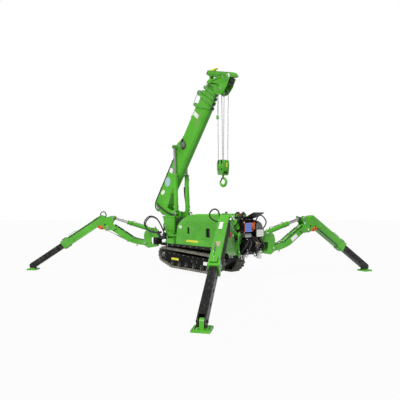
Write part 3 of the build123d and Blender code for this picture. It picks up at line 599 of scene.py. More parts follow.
def fitting(shape, start, toward, radius=0.012, length=0.04):
    # A crimped hose end: sleeve, then a six-sided nut
    start = Vector(start)
    along = (Vector(toward) - start).normalized()
    side = along.orthogonal().normalized()
    place = basis(start, side, along.cross(side))
    shape.lathe(place, (0, 0), [(radius, 0.0), (radius, length * 0.55), (radius * 0.86, length * 0.6)], 16)
    shape.plate(place, hexagon((0, 0), radius * 1.35), -length * 0.45, 0.0, 0.001, 1)


def hose_run(shape, points, radius, ends=None):
    # A hose through the points, and where a shape for the ends is given, a fitting at each end
    shape.tube(smooth_line(points), radius)
    if ends:
        fitting(ends, points[0], points[1])
        fitting(ends, points[-1], points[-2])


# Tracks and their frames

def track_details(side_name, place):
    discs = Shape()
    for centre, radius in ((rear_wheel, 0.096), (front_wheel, 0.087)):
        discs.lathe(place, centre, [(radius, 0.004), (radius, 0.009), (radius - 0.008, 0.011),
            (radius - 0.014, 0.006), (0.05, 0.006), (0.044, 0.013), (0.034, 0.014), (0.03, 0.019),
            (0.016, 0.02)], 48)
        for a, spot in ring_spots(centre, radius * 0.7, 8):
            discs.bolt(place, spot, 0.006, 0.0055, 0.006, a)
    for x in roller_xs:
        discs.lathe(place, (x, roller_z), [(0.044, 0.011), (0.044, 0.013), (0.038, 0.016), (0.034, 0.012),
            (0.016, 0.012), (0.015, 0.0185), (0.01, 0.0195)])
    discs.finish(f"track_discs_{side_name}", "chassis", roller_steel)

    ribs = Shape()
    ribs.plate(place, [(-0.62, 0.292), (-0.3, 0.286), (0.43, 0.262), (0.43, 0.272), (-0.3, 0.297),
        (-0.62, 0.303)], -0.002, 0.007, 0.0015)
    for x in (-0.375, -0.185, 0.005, 0.195):
        ribs.plate(place, [(x - 0.03, 0.141), (x + 0.03, 0.141), (x + 0.015, 0.196), (x - 0.015, 0.196)],
            -0.002, 0.008, 0.002)
    ribs.block(place, (0.1, 0.238), (0.15, 0.04), -0.002, 0.004, 0.0015)
    ribs.finish(f"track_ribs_{side_name}", "chassis", black)

    bolts = Shape()
    for k in range(8):
        x = -0.56 + 0.125 * k
        bolts.bolt(place, (x, 0.318 - 0.028 * (x + 0.56)), 0.0055, 0.0, 0.005, 0.3 * k)
    for x in (0.036, 0.164):
        for z in (0.226, 0.25):
            bolts.bolt(place, (x, z), 0.0042, 0.0035, 0.004)
    bolts.finish(f"track_bolts_{side_name}", "chassis", steel, "black_paint")

    add_film(f"track_film_{side_name}", "chassis", yellow, place, (-0.415, 0.232), (0.2, 0.036), 0.0)
    add_film(f"track_plate_{side_name}", "chassis", white, place, (0.372, 0.228), (0.11, 0.052), 0.0)


# Engine cover

def cover_details(side_name, place):
    slats = Shape()
    for x, z, width, height in vents:
        slats.block(place, (x, z), (width + 0.014, height + 0.014), -0.03, -0.022, 0.001, 1)
        count = round(height / 0.0125)
        for k in range(count):
            level = z - height / 2 + (k + 0.5) * height / count
            slats.block(place, (x, level), (width + 0.01, 0.0045), -0.023, -0.008, 0.001, 1)
    slats.finish(f"vent_slats_{side_name}", "chassis", soft_black)

    trim = Shape()
    for x, z, width, height in vents:
        r = 0.012
        w, h = width / 2 + 0.003 - r, height / 2 + 0.003 - r
        ring = []
        for cx, cy, a in ((w, h, 0), (-w, h, pi / 2), (-w, -h, pi), (w, -h, 1.5 * pi)):
            corner = arc_points((cx, cy), r, a, a + pi / 2, 5)
            ring += [place @ Vector((x + px, z + py, 0.0005)) for px, py in corner]
        trim.tube(ring, 0.003, 8, True)
    trim.block(place, (0.15, 0.499), (1.04, 0.012), -0.002, 0.0045, 0.0015)
    trim.finish(f"cover_ribs_{side_name}", "chassis", green)

    # Pressed ribs along the side, broken where a vent is
    ribs = Shape()
    for k in range(10):
        level = 0.6 + 0.029 * k
        ends = [-0.345 + max(0.0, level - 0.74) * 0.9]
        for x, z, width, height in sorted(vents):
            if abs(level - z) < height / 2 + 0.012:
                ends += [x - width / 2 - 0.012, x + width / 2 + 0.012]
        ends.append(0.585)
        for left, right in zip(ends[::2], ends[1::2]):
            ribs.block(place, ((left + right) / 2, level), (right - left, 0.0075), -0.002, 0.0026, 0.0012)
    ribs.finish(f"cover_side_ribs_{side_name}", "chassis", green)

    fixings = Shape()
    for x in (-0.36, -0.17, 0.05, 0.34, 0.52, 0.66):
        fixings.bolt(place, (x, 0.512), 0.0058, 0.0, 0.005)
    for x, z in ((0.09, 0.62), (0.28, 0.62), (0.62, 0.62)):
        fixings.lathe(place, (x, z), [(0.017, -0.001), (0.017, 0.003), (0.014, 0.005), (0.007, 0.005),
            (0.006, 0.0025)], 28)
    fixings.finish(f"cover_fixings_{side_name}", "chassis", green)

    add_film(f"cover_yellow_film_{side_name}", "chassis", yellow, place, (0.045, 0.5545), (0.3, 0.032), 0.0)
    add_film(f"cover_white_film_{side_name}", "chassis", white, place, (-0.268, 0.778), (0.08, 0.052), 0.0)


def roof_details():
    roof = top_frame(roof_z)
    ribs = Shape()
    for y in (-0.1, 0.0, 0.1):
        ribs.block(roof, (0.43, y), (0.42, 0.014), -0.002, 0.0035, 0.0016)
    ribs.block(roof, (0.655, -0.15), (0.056, 0.036), -0.002, 0.009)
    ribs.finish("roof_ribs", "chassis", green)
    cap = Shape()
    cap.lathe(roof, (0.61, 0.185), [(0.036, -0.002), (0.036, 0.008), (0.03, 0.01), (0.03, 0.022),
        (0.026, 0.026)], 36)
    cap.block(roof, (0.61, 0.185), (0.052, 0.01), 0.024, 0.031)
    cap.finish("filler_cap", "chassis", soft_black)
    pipe = Shape()
    pipe.lathe(roof, (0.33, 0.205), [(0.026, -0.002), (0.026, 0.003), (0.019, 0.004), (0.019, 0.026),
        (0.022, 0.027), (0.022, 0.034), (0.016, 0.034), (0.016, 0.006)])
    pipe.finish("exhaust_outlet", "chassis", dark_steel)


# Deck, end beams and slew ring

def deck_details():
    bolts = Shape()
    for place in both_sides(side_frame, deck_side):
        for k in range(10):
            bolts.bolt(place, (-0.8 + 0.16 * k, 0.463), 0.0065, 0.0, 0.006, 0.2 * k)
    top = top_frame(0.564)
    for end in (1, -1):
        for y in (-swivel_y, swivel_y):
            for a, spot in ring_spots((end * swivel_x, y), 0.045, 6, 0.2):
                bolts.bolt(top, spot, 0.005, 0.0, 0.005, a)
    front = cross_frame(console_x)
    for y in (-0.145, 0.145):
        for z in (0.48, 0.56, 0.635):
            bolts.bolt(front, (y, z), 0.007, 0.0, 0.007)
    ring = top_frame(0.6405)
    for a, spot in ring_spots((slew_x, 0), 0.2095, 24):
        bolts.bolt(ring, spot, 0.0038, -0.001, 0.004, a)
    bolts.finish("deck_bolts", "chassis", steel, "black_paint")

    plates = Shape()
    rear = mirrored(cross_frame(-0.84))
    plates.block(rear, (0, 0.4), (0.18, 0.07), -0.02, 0.006)
    for place in both_sides(side_frame, 0.165):
        plates.plate(place, [(0.8, 0.45), (0.98, 0.45), (1.08, 0.5), (1.08, 0.62), (0.8, 0.62)], -0.002,
            0.006, 0.002)
    plates.block(front, (0.0, 0.598), (0.25, 0.052), -0.002, 0.01)
    plates.finish("deck_plates", "chassis", black)

    # Tie-down shackles hanging from the front box
    rings = Shape()
    for x, y, z in ((1.108, -0.15, 0.452), (1.108, 0.15, 0.452), (1.02, -0.15, 0.412)):
        points = [machine(x, y + 0.02 * sin(a), z - 0.03 - 0.034 * cos(a))
            for a in [2 * pi * k / 24 for k in range(24)]]
        rings.tube(points, 0.0055, 10, True)
        rings.lathe(basis(machine(x, y - 0.016, z), (1, 0, 0), (0, 0, -1)), (0, 0),
            [(0.01, -0.001), (0.01, 0.032)], 16)
    rings.finish("tie_rings", "chassis", bright)

    # Canisters and blocks below the console
    can = Shape()
    can.lathe(top_frame(0.345), (1.08, 0.14), [(0.03, 0.0), (0.036, 0.006), (0.036, 0.07), (0.03, 0.078),
        (0.03, 0.084), (0.038, 0.088), (0.038, 0.112), (0.018, 0.118)])
    can.finish("filter_canister", "chassis", white)
    tank = Shape()
    tank.block(front, (0.052, 0.556), (0.05, 0.07), -0.002, 0.034, 0.006, 3)
    tank.lathe(basis(machine(1.128, 0.052, 0.52), (1, 0, 0), (0, -1, 0)), (0, 0),
        [(0.02, 0.0), (0.02, 0.024), (0.012, 0.03)], 24)
    tank.finish("tan_reservoir", "chassis", tan)
    valves = Shape()
    valves.block(front, (-0.135, 0.69), (0.126, 0.054), -0.06, 0.014, 0.004)
    valves.finish("valve_block", "chassis", strut_grey, "black_paint")


# Console

def console_details():
    front = cross_frame(console_x)
    # Display: a housing with cut corners, its screen, keys and a knob at the side
    outline = []
    for y, z in ((1, 1), (-1, 1), (-1, -1), (1, -1)):
        step = ((0.016, 0), (0, 0.016)) if y * z > 0 else ((0, 0.016), (0.016, 0))
        outline += [(-0.074 + y * (0.1165 - a), 0.8025 + z * (0.081 - b)) for a, b in step]
    housing = Shape()
    housing.plate(cross_frame(1.086), outline, 0.0, 0.024, 0.006, 3)
    housing.finish("display_housing", "chassis", orange, replaces=("display_unit",))
    keys = Shape()
    for k in range(5):
        keys.block(front, (-0.022, 0.76 + 0.021 * k), (0.022, 0.013), -0.001, 0.004, 0.0012)
    keys.finish("screen_keys", "chassis", orange)
    knob = Shape()
    knob.lathe(front, (0.026, 0.806), [(0.014, -0.001), (0.014, 0.005), (0.01, 0.008)], 20)
    knob.block(cross_frame(1.076), (-0.07, 0.8), (0.12, 0.09), -0.014, 0.011, 0.003)
    knob.finish("display_bracket", "chassis", soft_black)
    glass = Shape()
    label(glass, front, (-0.117, 0.802), (0.134, 0.128), 0.001, 0.0, 0.008)
    glass.finish("screen_glass", "chassis", screen, replaces=("display_screen",))

    # The frame round the blank plate and the arched housing over it
    rim = Shape()
    plate = cross_frame(1.122)
    for y, z, w, h in ((0.108, 0.774, 0.168, 0.008), (0.108, 0.662, 0.168, 0.008),
            (0.026, 0.718, 0.008, 0.114), (0.19, 0.718, 0.008, 0.114)):
        rim.block(plate, (y, z), (w, h), -0.002, 0.013, 0.003)
    rim.finish("plate_rim", "chassis", soft_black)
    add_film("blank_plate", "chassis", white, cross_frame(1.13), (0.108, 0.718), (0.154, 0.102), 0.002)
    arch = Shape()
    outline = [(0.034, 0.76)] + [(0.112 + 0.078 * cos(a), 0.8 + 0.078 * sin(a))
        for a in [pi - pi * k / 18 for k in range(19)]] + [(0.19, 0.76)]
    arch.plate(cross_frame(1.058), outline, 0.0, 0.052, 0.008, 3)
    arch.finish("arched_housing", "chassis", grey)

    # Lid: lips along its edges and a latch
    lips = Shape()
    for y in (-0.11, 0.11):
        lips.tube([machine(1.026, y, 0.936), machine(1.201, y, 1.011)], 0.006, 10)
    lips.tube([machine(1.201, -0.112, 1.011), machine(1.201, 0.112, 1.011)], 0.006, 10)
    lips.block(basis(machine(1.12, 0, 0.982), (0, 1, 0), (cos(0.4), 0, sin(0.4))), (0, 0), (0.08, 0.03),
        -0.002, 0.01, 0.003)
    lips.finish("lid_lips", "console_lid", soft_black)
    loop, ends = Shape(), Shape()
    line = machine_line(((1.04, 0.125, 0.9), (1.03, 0.169, 0.948), (1.02, 0.237, 0.974), (1.02, 0.305, 0.955),
        (1.02, 0.363, 0.902), (1.02, 0.374, 0.856), (1.02, 0.339, 0.804), (1.03, 0.281, 0.775),
        (1.05, 0.215, 0.74), (1.08, 0.19, 0.7)))
    hose_run(loop, line, 0.0095, ends)
    loop.finish("console_hose_loop", "chassis", hose)
    ends.finish("console_hose_ends", "chassis", steel)

    # Long slanted lever with its grip, short levers and their knobs
    levers = Shape()
    low, high = machine(0.903, -0.18, 0.81), machine(1.078, -0.18, 1.014)
    levers.tube([low, high], 0.01, 14)
    levers.tube([low.lerp(high, 0.35), high], 0.019, 18)
    levers.block(side_frame(-0.195), (0.9, 0.806), (0.06, 0.06), 0.0, 0.066, 0.006)
    for k in range(4):
        y = -0.19 + 0.02 * k
        levers.tube([machine(0.96, y, 0.86), machine(0.985 + 0.004 * k, y - 0.01, 0.975)], 0.0045, 10)
    levers.finish("console_levers", "chassis", soft_black)
    knobs = Shape()
    for k, height in ((0, 0.985), (2, 0.99)):
        y = -0.19 + 0.02 * k - 0.01
        ball = basis(machine(0.985 + 0.004 * k, y, height - 0.012), (1, 0, 0), (0, 1, 0))
        knobs.lathe(ball, (0, 0), [(0.004, 0.0), (0.01, 0.005), (0.013, 0.013), (0.01, 0.021),
            (0.004, 0.026)], 20)
    knobs.lathe(top_frame(0.93), (0.9, 0.075), [(0.016, -0.001), (0.016, 0.012), (0.022, 0.014),
        (0.022, 0.024), (0.017, 0.028)], 24)
    knobs.finish("red_knobs", "chassis", red)

    # Gaiters at the feet of the lever row
    boots = Shape()
    for k in range(6):
        spot = (0.84, -0.1 + 0.04 * k)
        boots.lathe(top_frame(0.94), spot, [(0.016, -0.001), (0.016, 0.004), (0.011, 0.008), (0.013, 0.011),
            (0.009, 0.015), (0.01, 0.018), (0.006, 0.022)], 20)
    boots.finish("lever_boots", "chassis", hose)

    # Panels and louvres on the housing's sides
    panels, guard = Shape(), Shape()
    guard.block(side_frame(-0.14), (0.88, 0.845), (0.15, 0.15), -0.002, 0.008, 0.003)
    guard.block(top_frame(0.7), (0.826, -0.172), (0.07, 0.07), 0.0, 0.284, 0.01, 3)
    guard.finish("console_guard", "chassis", green)
    add_film("guard_film", "chassis", white, cross_frame(0.861), (-0.172, 0.955), (0.05, 0.034), 0.001)
    for place in both_sides(side_frame, 0.13):
        panels.block(place, (0.915, 0.79), (0.23, 0.21), -0.002, 0.004)
        for k in range(6):
            panels.block(place, (0.915, 0.735 + 0.022 * k), (0.15, 0.008), 0.002, 0.009)
    panels.finish("console_panels", "chassis", black)
    bolts = Shape()
    for place in both_sides(side_frame, 0.134):
        for x in (0.812, 1.018):
            for z in (0.698, 0.882):
                bolts.bolt(place, (x, z), 0.005, 0.0, 0.004)
    for y, z in ((-0.2, 0.735), (-0.2, 0.865), (0.028, 0.735), (0.028, 0.865)):
        bolts.bolt(front, (y, z), 0.0042, 0.0, 0.004)
    bolts.finish("console_bolts", "chassis", steel, "black_paint")


# Hoses fixed to the chassis, from the console and the slew base down to the corner blocks
# Each row is one hose, by points on the machine
chassis_hoses = [
    ((1.06, -0.1, 0.66), (1.125, -0.13, 0.62), (1.13, -0.19, 0.54), (1.08, -0.22, 0.47), (1.03, -0.25, 0.44)),
    ((1.06, -0.07, 0.66), (1.14, -0.09, 0.6), (1.15, -0.14, 0.5), (1.1, -0.19, 0.43), (1.04, -0.21, 0.41)),
    ((1.06, -0.02, 0.66), (1.14, -0.02, 0.61), (1.155, 0.0, 0.53), (1.14, 0.02, 0.46), (1.09, 0.02, 0.42)),
    ((1.06, 0.02, 0.67), (1.15, 0.025, 0.62), (1.16, 0.03, 0.56), (1.14, 0.06, 0.48), (1.08, 0.11, 0.43)),
    ((1.06, 0.14, 0.66), (1.13, 0.15, 0.6), (1.13, 0.2, 0.53), (1.08, 0.23, 0.47), (1.03, 0.25, 0.44)),
    ((0.9, -0.13, 0.7), (0.9, -0.2, 0.68), (0.92, -0.23, 0.6), (0.95, -0.25, 0.57)),
    ((0.86, -0.13, 0.72), (0.86, -0.21, 0.7), (0.87, -0.24, 0.6), (0.91, -0.25, 0.56)),
    ((0.9, 0.13, 0.7), (0.9, 0.2, 0.68), (0.92, 0.23, 0.6), (0.95, 0.25, 0.57)),
    ((-0.78, -0.15, 0.52), (-0.88, -0.17, 0.56), (-0.96, -0.2, 0.55), (-0.98, -0.22, 0.49)),
    ((-0.8, -0.11, 0.5), (-0.9, -0.12, 0.55), (-0.985, -0.15, 0.53), (-1.0, -0.17, 0.47)),
    ((-0.8, 0.11, 0.5), (-0.9, 0.12, 0.55), (-0.985, 0.15, 0.53), (-1.0, 0.17, 0.47)),
    ((-0.8, -0.05, 0.5), (-0.93, -0.06, 0.53), (-1.01, -0.05, 0.48), (-0.99, -0.05, 0.4),
     (-0.88, -0.05, 0.36)),
    ((-0.8, 0.03, 0.5), (-0.92, 0.03, 0.54), (-1.02, 0.02, 0.49), (-1.01, 0.02, 0.41), (-0.88, 0.02, 0.35)),
]


def hose_bundles():
    shape, ends = Shape(), Shape()
    for points in chassis_hoses:
        line = [machine(*p) for p in points]
        hose_run(shape, line, 0.0085, ends)
    # Loops to the rear legs, from a block at each side of the slew base
    blocks = Shape()
    for place in both_sides(side_frame, deck_side):
        blocks.block(place, (-0.745, 0.6), (0.18, 0.09), -0.002, 0.046, 0.006)
        blocks.block(place, (-0.69, 0.655), (0.06, 0.03), 0.004, 0.04, 0.004)
        blocks.block(place, (-0.865, 0.644), (0.05, 0.082), -0.025, 0.04, 0.006)
    blocks.finish("rear_valve_blocks", "chassis", soft_black)
    for side in (-1, 1):
        for size, drop in ((1.0, 0.0), (0.94, 0.016)):
            line = [machine(-0.709 - 0.647 * u * size, side * (0.29 + 0.762 * u * size), z - drop)
                for u, z in ((0.0, 0.655), (0.054, 0.777), (0.107, 0.875), (0.161, 0.93), (0.25, 0.955),
                (0.32, 0.911), (0.357, 0.83), (0.32, 0.741), (0.25, 0.696), (0.143, 0.672), (0.054, 0.64))]
            hose_run(shape, line, 0.0105, ends)
    shape.finish("hose_bundles", "chassis", hose)
    ends.finish("hose_ends", "chassis", steel)


# Column and winch

def column_details():
    plates = Shape()
    for place in both_sides(side_frame, 0.192):
        plates.plate(place, [(-0.745, 0.69), (-0.6, 0.69), (-0.59, 0.915), (-0.85, 0.915)], -0.002, 0.006,
            0.003)
        plates.block(place, (-0.735, 0.94), (0.35, 0.014), -0.002, 0.006)
    for place in both_sides(side_frame, 0.085):
        plates.plate(place, [(-1.235, 1.085), (-1.185, 1.065), (-1.06, 1.015), (-0.925, 0.962),
            (-0.925, 0.985), (-1.06, 1.04), (-1.18, 1.092), (-1.225, 1.112)], -0.002, 0.006, 0.002)
        plates.lathe(place, pivot, [(0.05, 0.008), (0.05, 0.016), (0.046, 0.019)], 40)
    plates.finish("column_plates", "column", green)

    bolts = Shape()
    for place in both_sides(side_frame, 0.198):
        for x, z in ((-0.725, 0.708), (-0.618, 0.708), (-0.61, 0.896), (-0.825, 0.896), (-0.72, 0.896)):
            bolts.bolt(place, (x, z), 0.0075, 0.0, 0.007)
    for place in both_sides(side_frame, 0.098):
        pin_head(bolts, place, pivot, 0.005, 0.028)
        bolts.block(place, (pivot[0], 1.166), (0.06, 0.016), -0.012, 0.004)
    for place in both_sides(side_frame, 0.16):
        pin_head(bolts, place, luff_foot, 0.0, 0.02)
    top = top_frame(0.6663)
    for a, spot in ring_spots((slew_x, 0), 0.196, 20, 0.1):
        # None at the column's two sides
        if abs(sin(a)) <= 0.98:
            bolts.bolt(top, spot, 0.005, 0.0, 0.006, a)
    bolts.finish("column_bolts", "column", steel)

    # Hoses behind the column, from its foot up to the arms
    shape, ends = Shape(), Shape()
    for k in range(7):
        y = -0.15 + 0.05 * k
        line = machine_line(((-0.8, y, 0.69), (-0.88, y, 0.7), (-0.935, y, 0.78), (-0.955, y * 0.8, 0.835),
            (-0.97, y * 0.5, 0.87), (-0.96, y * 0.45, 0.905)))
        hose_run(shape, line, 0.01, ends)
    # Hoses over the arms, from the boom's foot to the column's top
    for y in (-0.112, 0.112):
        line = machine_line(((-1.216, y * 0.9, 1.205), (-1.201, y, 1.179), (-1.101, y, 1.121),
            (-0.939, y, 1.046), (-0.783, y, 0.992), (-0.68, y, 0.974), (-0.63, y * 1.2, 0.95)))
        hose_run(shape, line, 0.0125)
    # Hoses down the column's front
    for k in range(8):
        y = -0.168 + 0.048 * k
        line = machine_line(((-0.572, y, 0.955), (-0.546, y, 0.925), (-0.542, y, 0.86), (-0.546, y, 0.76),
            (-0.55, y, 0.7), (-0.568, y, 0.68)))
        hose_run(shape, line, 0.0095)
    shape.finish("column_hoses", "column", hose)
    ends.finish("column_hose_ends", "column", steel)
    block = Shape()
    block.block(top_frame(0.69), (-0.925, 0.0), (0.05, 0.3), 0.0, 0.08, 0.006)
    block.block(top_frame(0.77), (-0.918, 0.0), (0.036, 0.22), 0.0, 0.04, 0.006)
    block.finish("column_valve_bank", "column", soft_black)

    # Rope wound on the drum
    drum = Shape()
    coil = []
    turns, steps, radius, width = 9, 24, 0.0475, 0.104
    for k in range(turns * steps + 1):
        a = 2 * pi * k / steps
        y = width * (k / (turns * steps)) - width / 2
        coil.append(machine(slew_x + radius * cos(a), y, 0.895 + radius * sin(a)))
    drum.tube(coil, 0.0055, 8)
    drum.finish("drum_rope", "column", rope)


# Boom

def boom_point(along, up, y):
    return boom_frame(y) @ Vector((along, up, 0))


def boom_details():
    trim = Shape()
    for place in both_sides(boom_frame, boom_side):
        # Weld line along the side, foot stiffener, and the doubler round the cylinder pin
        trim.plate(place, [(0.02, -0.158), (0.1, -0.19), (0.225, -0.19), (0.395, -0.158), (0.395, -0.14),
            (0.02, -0.14)], 0.0, 0.006, 0.002)
        trim.plate(place, [(1.02, 0.14), (1.11, 0.21), (1.25, 0.21), (1.34, 0.14), (1.28, 0.105),
            (1.08, 0.105)], 0.0, 0.006, 0.002)
        trim.lathe(place, (1.18, 0.2), [(0.046, 0.0), (0.046, 0.01), (0.041, 0.014)], 36)
    for s in (0.55, 0.95, 1.4, 1.8):
        for y in (-0.045, 0.045):
            trim.plate(boom_frame(y), [(s - 0.02, 0.163), (s + 0.02, 0.163), (s + 0.012, 0.196),
                (s - 0.012, 0.196)], -0.004, 0.004, 0.001, 1)
    trim.finish("boom_trim", "boom", green)

    bolts = Shape()
    for place in both_sides(boom_frame, 0.075):
        for k in range(4):
            bolts.bolt(place, (2.167, -0.105 + 0.072 * k), 0.006, 0.0, 0.006, 0.4)
    for place in both_sides(boom_frame, 0.074):
        for s in (0.06, 0.35):
            bolts.bolt(place, (s, -0.15), 0.006, 0.0, 0.006)
    bolts.finish("boom_bolts", "boom", steel)

    # Plain shapes on the side, with nothing printed on them
    film = Shape()
    for place in both_sides(boom_frame, boom_side):
        label(film, place, (0.752, 0.1), (0.085, 0.1), 0.0, 0.25, 0.012)
        label(film, place, (1.88, 0.06), (0.07, 0.15), 0.0, -0.1, 0.006)
        label(film, place, (0.285, 0.078), (0.12, 0.075), 0.0, -0.55, 0.036)
    film.finish("boom_white_film", "boom", white)
    film = Shape()
    for place in both_sides(boom_frame, boom_side):
        film.plate(place, [spot for a, spot in ring_spots((0.525, 0.068), 0.085, 48)], -0.001, 0.0013)
    film.finish("boom_blue_film", "boom", cyan)
    # A long narrow slot outline near the open end
    slot_line = Shape()
    for place in both_sides(boom_frame, boom_side):
        w, r = 0.108, 0.019
        outline = arc_points((w, 0), r, -pi / 2, pi / 2, 8) + arc_points((-w, 0), r, pi / 2, 1.5 * pi, 8)
        turn = 0.08
        ring = [place @ Vector((1.83 + x * cos(turn) - y * sin(turn), -0.031 + x * sin(turn) + y * cos(turn),
            0.001)) for x, y in outline]
        slot_line.tube(ring, 0.0032, 8, True)
    slot_line.finish("boom_slot_line", "boom", tan, "black_paint")

    # Hoses along the upper side, down round the foot to the pivot
    shape, ends = Shape(), Shape()
    for y in (-0.054, -0.018, 0.018, 0.054):
        line = [boom_point(s, n, y) for s, n in ((0.98, 0.178), (0.8, 0.184), (0.55, 0.184), (0.25, 0.186),
            (0.06, 0.186), (-0.05, 0.172), (-0.1, 0.11), (-0.102, 0.04), (-0.08, -0.01), (-0.062, -0.034))]
        hose_run(shape, line, 0.0105)
        fitting(ends, line[0], line[1])
    shape.finish("boom_hoses", "boom", hose)
    ends.finish("boom_hose_ends", "boom", steel)
    clips = Shape()
    for s in (0.3, 0.62, 0.9):
        place = boom_cross_frame(s)
        clips.block(place, (0, 0.183), (0.132, 0.03), -0.01, 0.01, 0.004)
    clips.finish("boom_hose_clips", "boom", black)


def dial_details():
    face = boom_frame(-0.08)
    centre = (1.3, 0.06)
    rim = Shape()
    rim.lathe(face, centre, [(0.068, -0.012), (0.068, 0.006), (0.063, 0.01), (0.059, 0.006), (0.059, 0.0)],
        48)
    rim.block(face, (1.366, 0.132), (0.046, 0.03), -0.012, 0.012, 0.004)
    rim.finish("dial_rim", "boom", soft_black)
    plate = Shape()
    plate.lathe(face, centre, [(0.0585, -0.001), (0.0585, 0.0015)], 48)
    plate.finish("dial_plate", "boom", bright, "white_dial")
    marks = Shape()
    for k in range(19):
        a = radians(200 - 220 * k / 18)
        inner = 0.047 if k % 3 else 0.042
        points = [face @ Vector((centre[0] + r * cos(a), centre[1] + r * sin(a), 0.0022))
            for r in (inner, 0.054)]
        marks.tube(points, 0.0009, 6)
    # Plumb pointer: it hangs straight down from the middle
    down = -radians(90) - boom_angle
    points = [face @ Vector((centre[0] + r * cos(down), centre[1] + r * sin(down), 0.004))
        for r in (-0.016, 0.046)]
    marks.tube(points, 0.0028, 8)
    marks.lathe(face, centre, [(0.01, 0.001), (0.01, 0.006), (0.006, 0.008)], 20)
    spread = [(centre[0] + r * cos(down + d), centre[1] + r * sin(down + d))
        for r, d in ((0.012, 0.0), (0.052, 0.55), (0.054, 0.28), (0.055, 0.0), (0.054, -0.28),
        (0.052, -0.55))]
    marks.plate(face, spread, 0.0012, 0.0024)
    marks.finish("dial_marks", "boom", soft_black)


# Columns: body, where its collar ends below along the boom, how far it stands back above, width,
# depth, and its lug's place along, height over the section and radius
collars = [
    ("boom", 2.136, 0.11, 0.136, 0.33, 2.006, 0.052, 0.03),
    ("section_2", 2.214, 0.0, 0.118, 0.312, 2.208, 0.084, 0.046),
    ("section_3", 2.29, 0.0, 0.1, 0.294, 2.264, 0.03, 0.024),
    ("section_4", 2.362, 0.0, 0.082, 0.276, 2.34, 0.034, 0.032),
    ("section_5", 2.43, 0.0, 0.064, 0.258, 2.404, 0.024, 0.022),
]
collar_rise = 0.01


def collar_details():
    for body, finish, lean, width, depth, lug_along, lug_rise, lug_r in collars:
        w, d = width / 2 + collar_rise, depth / 2 + collar_rise
        slope = 0.24 * (width + 2 * collar_rise)
        # Dark wear pads that show under the step and on its sides, and the bolts that hold them
        pads, cheeks = Shape(), Shape()
        ring = boom_cross_frame(finish)
        pads.block(ring, (0, -d - 0.002), (2 * (w - slope) * 0.92, 0.016), -0.04, -0.004)
        bolts = Shape()
        for face in both_sides(boom_frame, w):
            for n in (-0.085, 0.095):
                middle = finish - lean * (0.5 + n / depth) - 0.023
                cheeks.block(face, (middle, n), (0.026, 0.05), -0.002, 0.004, 0.0015)
                for step in (-0.014, 0.014):
                    bolts.bolt(face, (middle, n + step), 0.0042, 0.0035, 0.004)
            for n in (-0.03, 0.03):
                middle = finish - lean * (0.5 + n / depth) - 0.023
                bolts.bolt(face, (middle, n), 0.0058, 0.0, 0.006, 0.3)
        for face in both_sides(boom_frame, width / 2 - 0.004):
            spot = (lug_along, depth / 2 + lug_rise)
            bolts.lathe(face, spot, [(lug_r * 0.62, -0.001), (lug_r * 0.62, 0.005), (lug_r * 0.42, 0.009),
                (lug_r * 0.2, 0.01)], 28)
        pads.finish(f"wear_pads_{body}", body, soft_black)
        cheeks.finish(f"pad_covers_{body}", body, green)
        bolts.finish(f"collar_bolts_{body}", body, steel)


def section_rods():
    # Thin rods along the upper side, between the first lug and the next
    shape = Shape()
    for y in (-0.058, 0.058):
        shape.tube([boom_point(2.158, 0.262, y), boom_point(2.02, 0.25, y), boom_point(1.985, 0.205, y)],
            0.0055, 10)
    shape.finish("guide_rods", "boom", bright)


# Head: positions from the sheaves' middle, along and square to the boom
sheave = (2.475, -0.225)


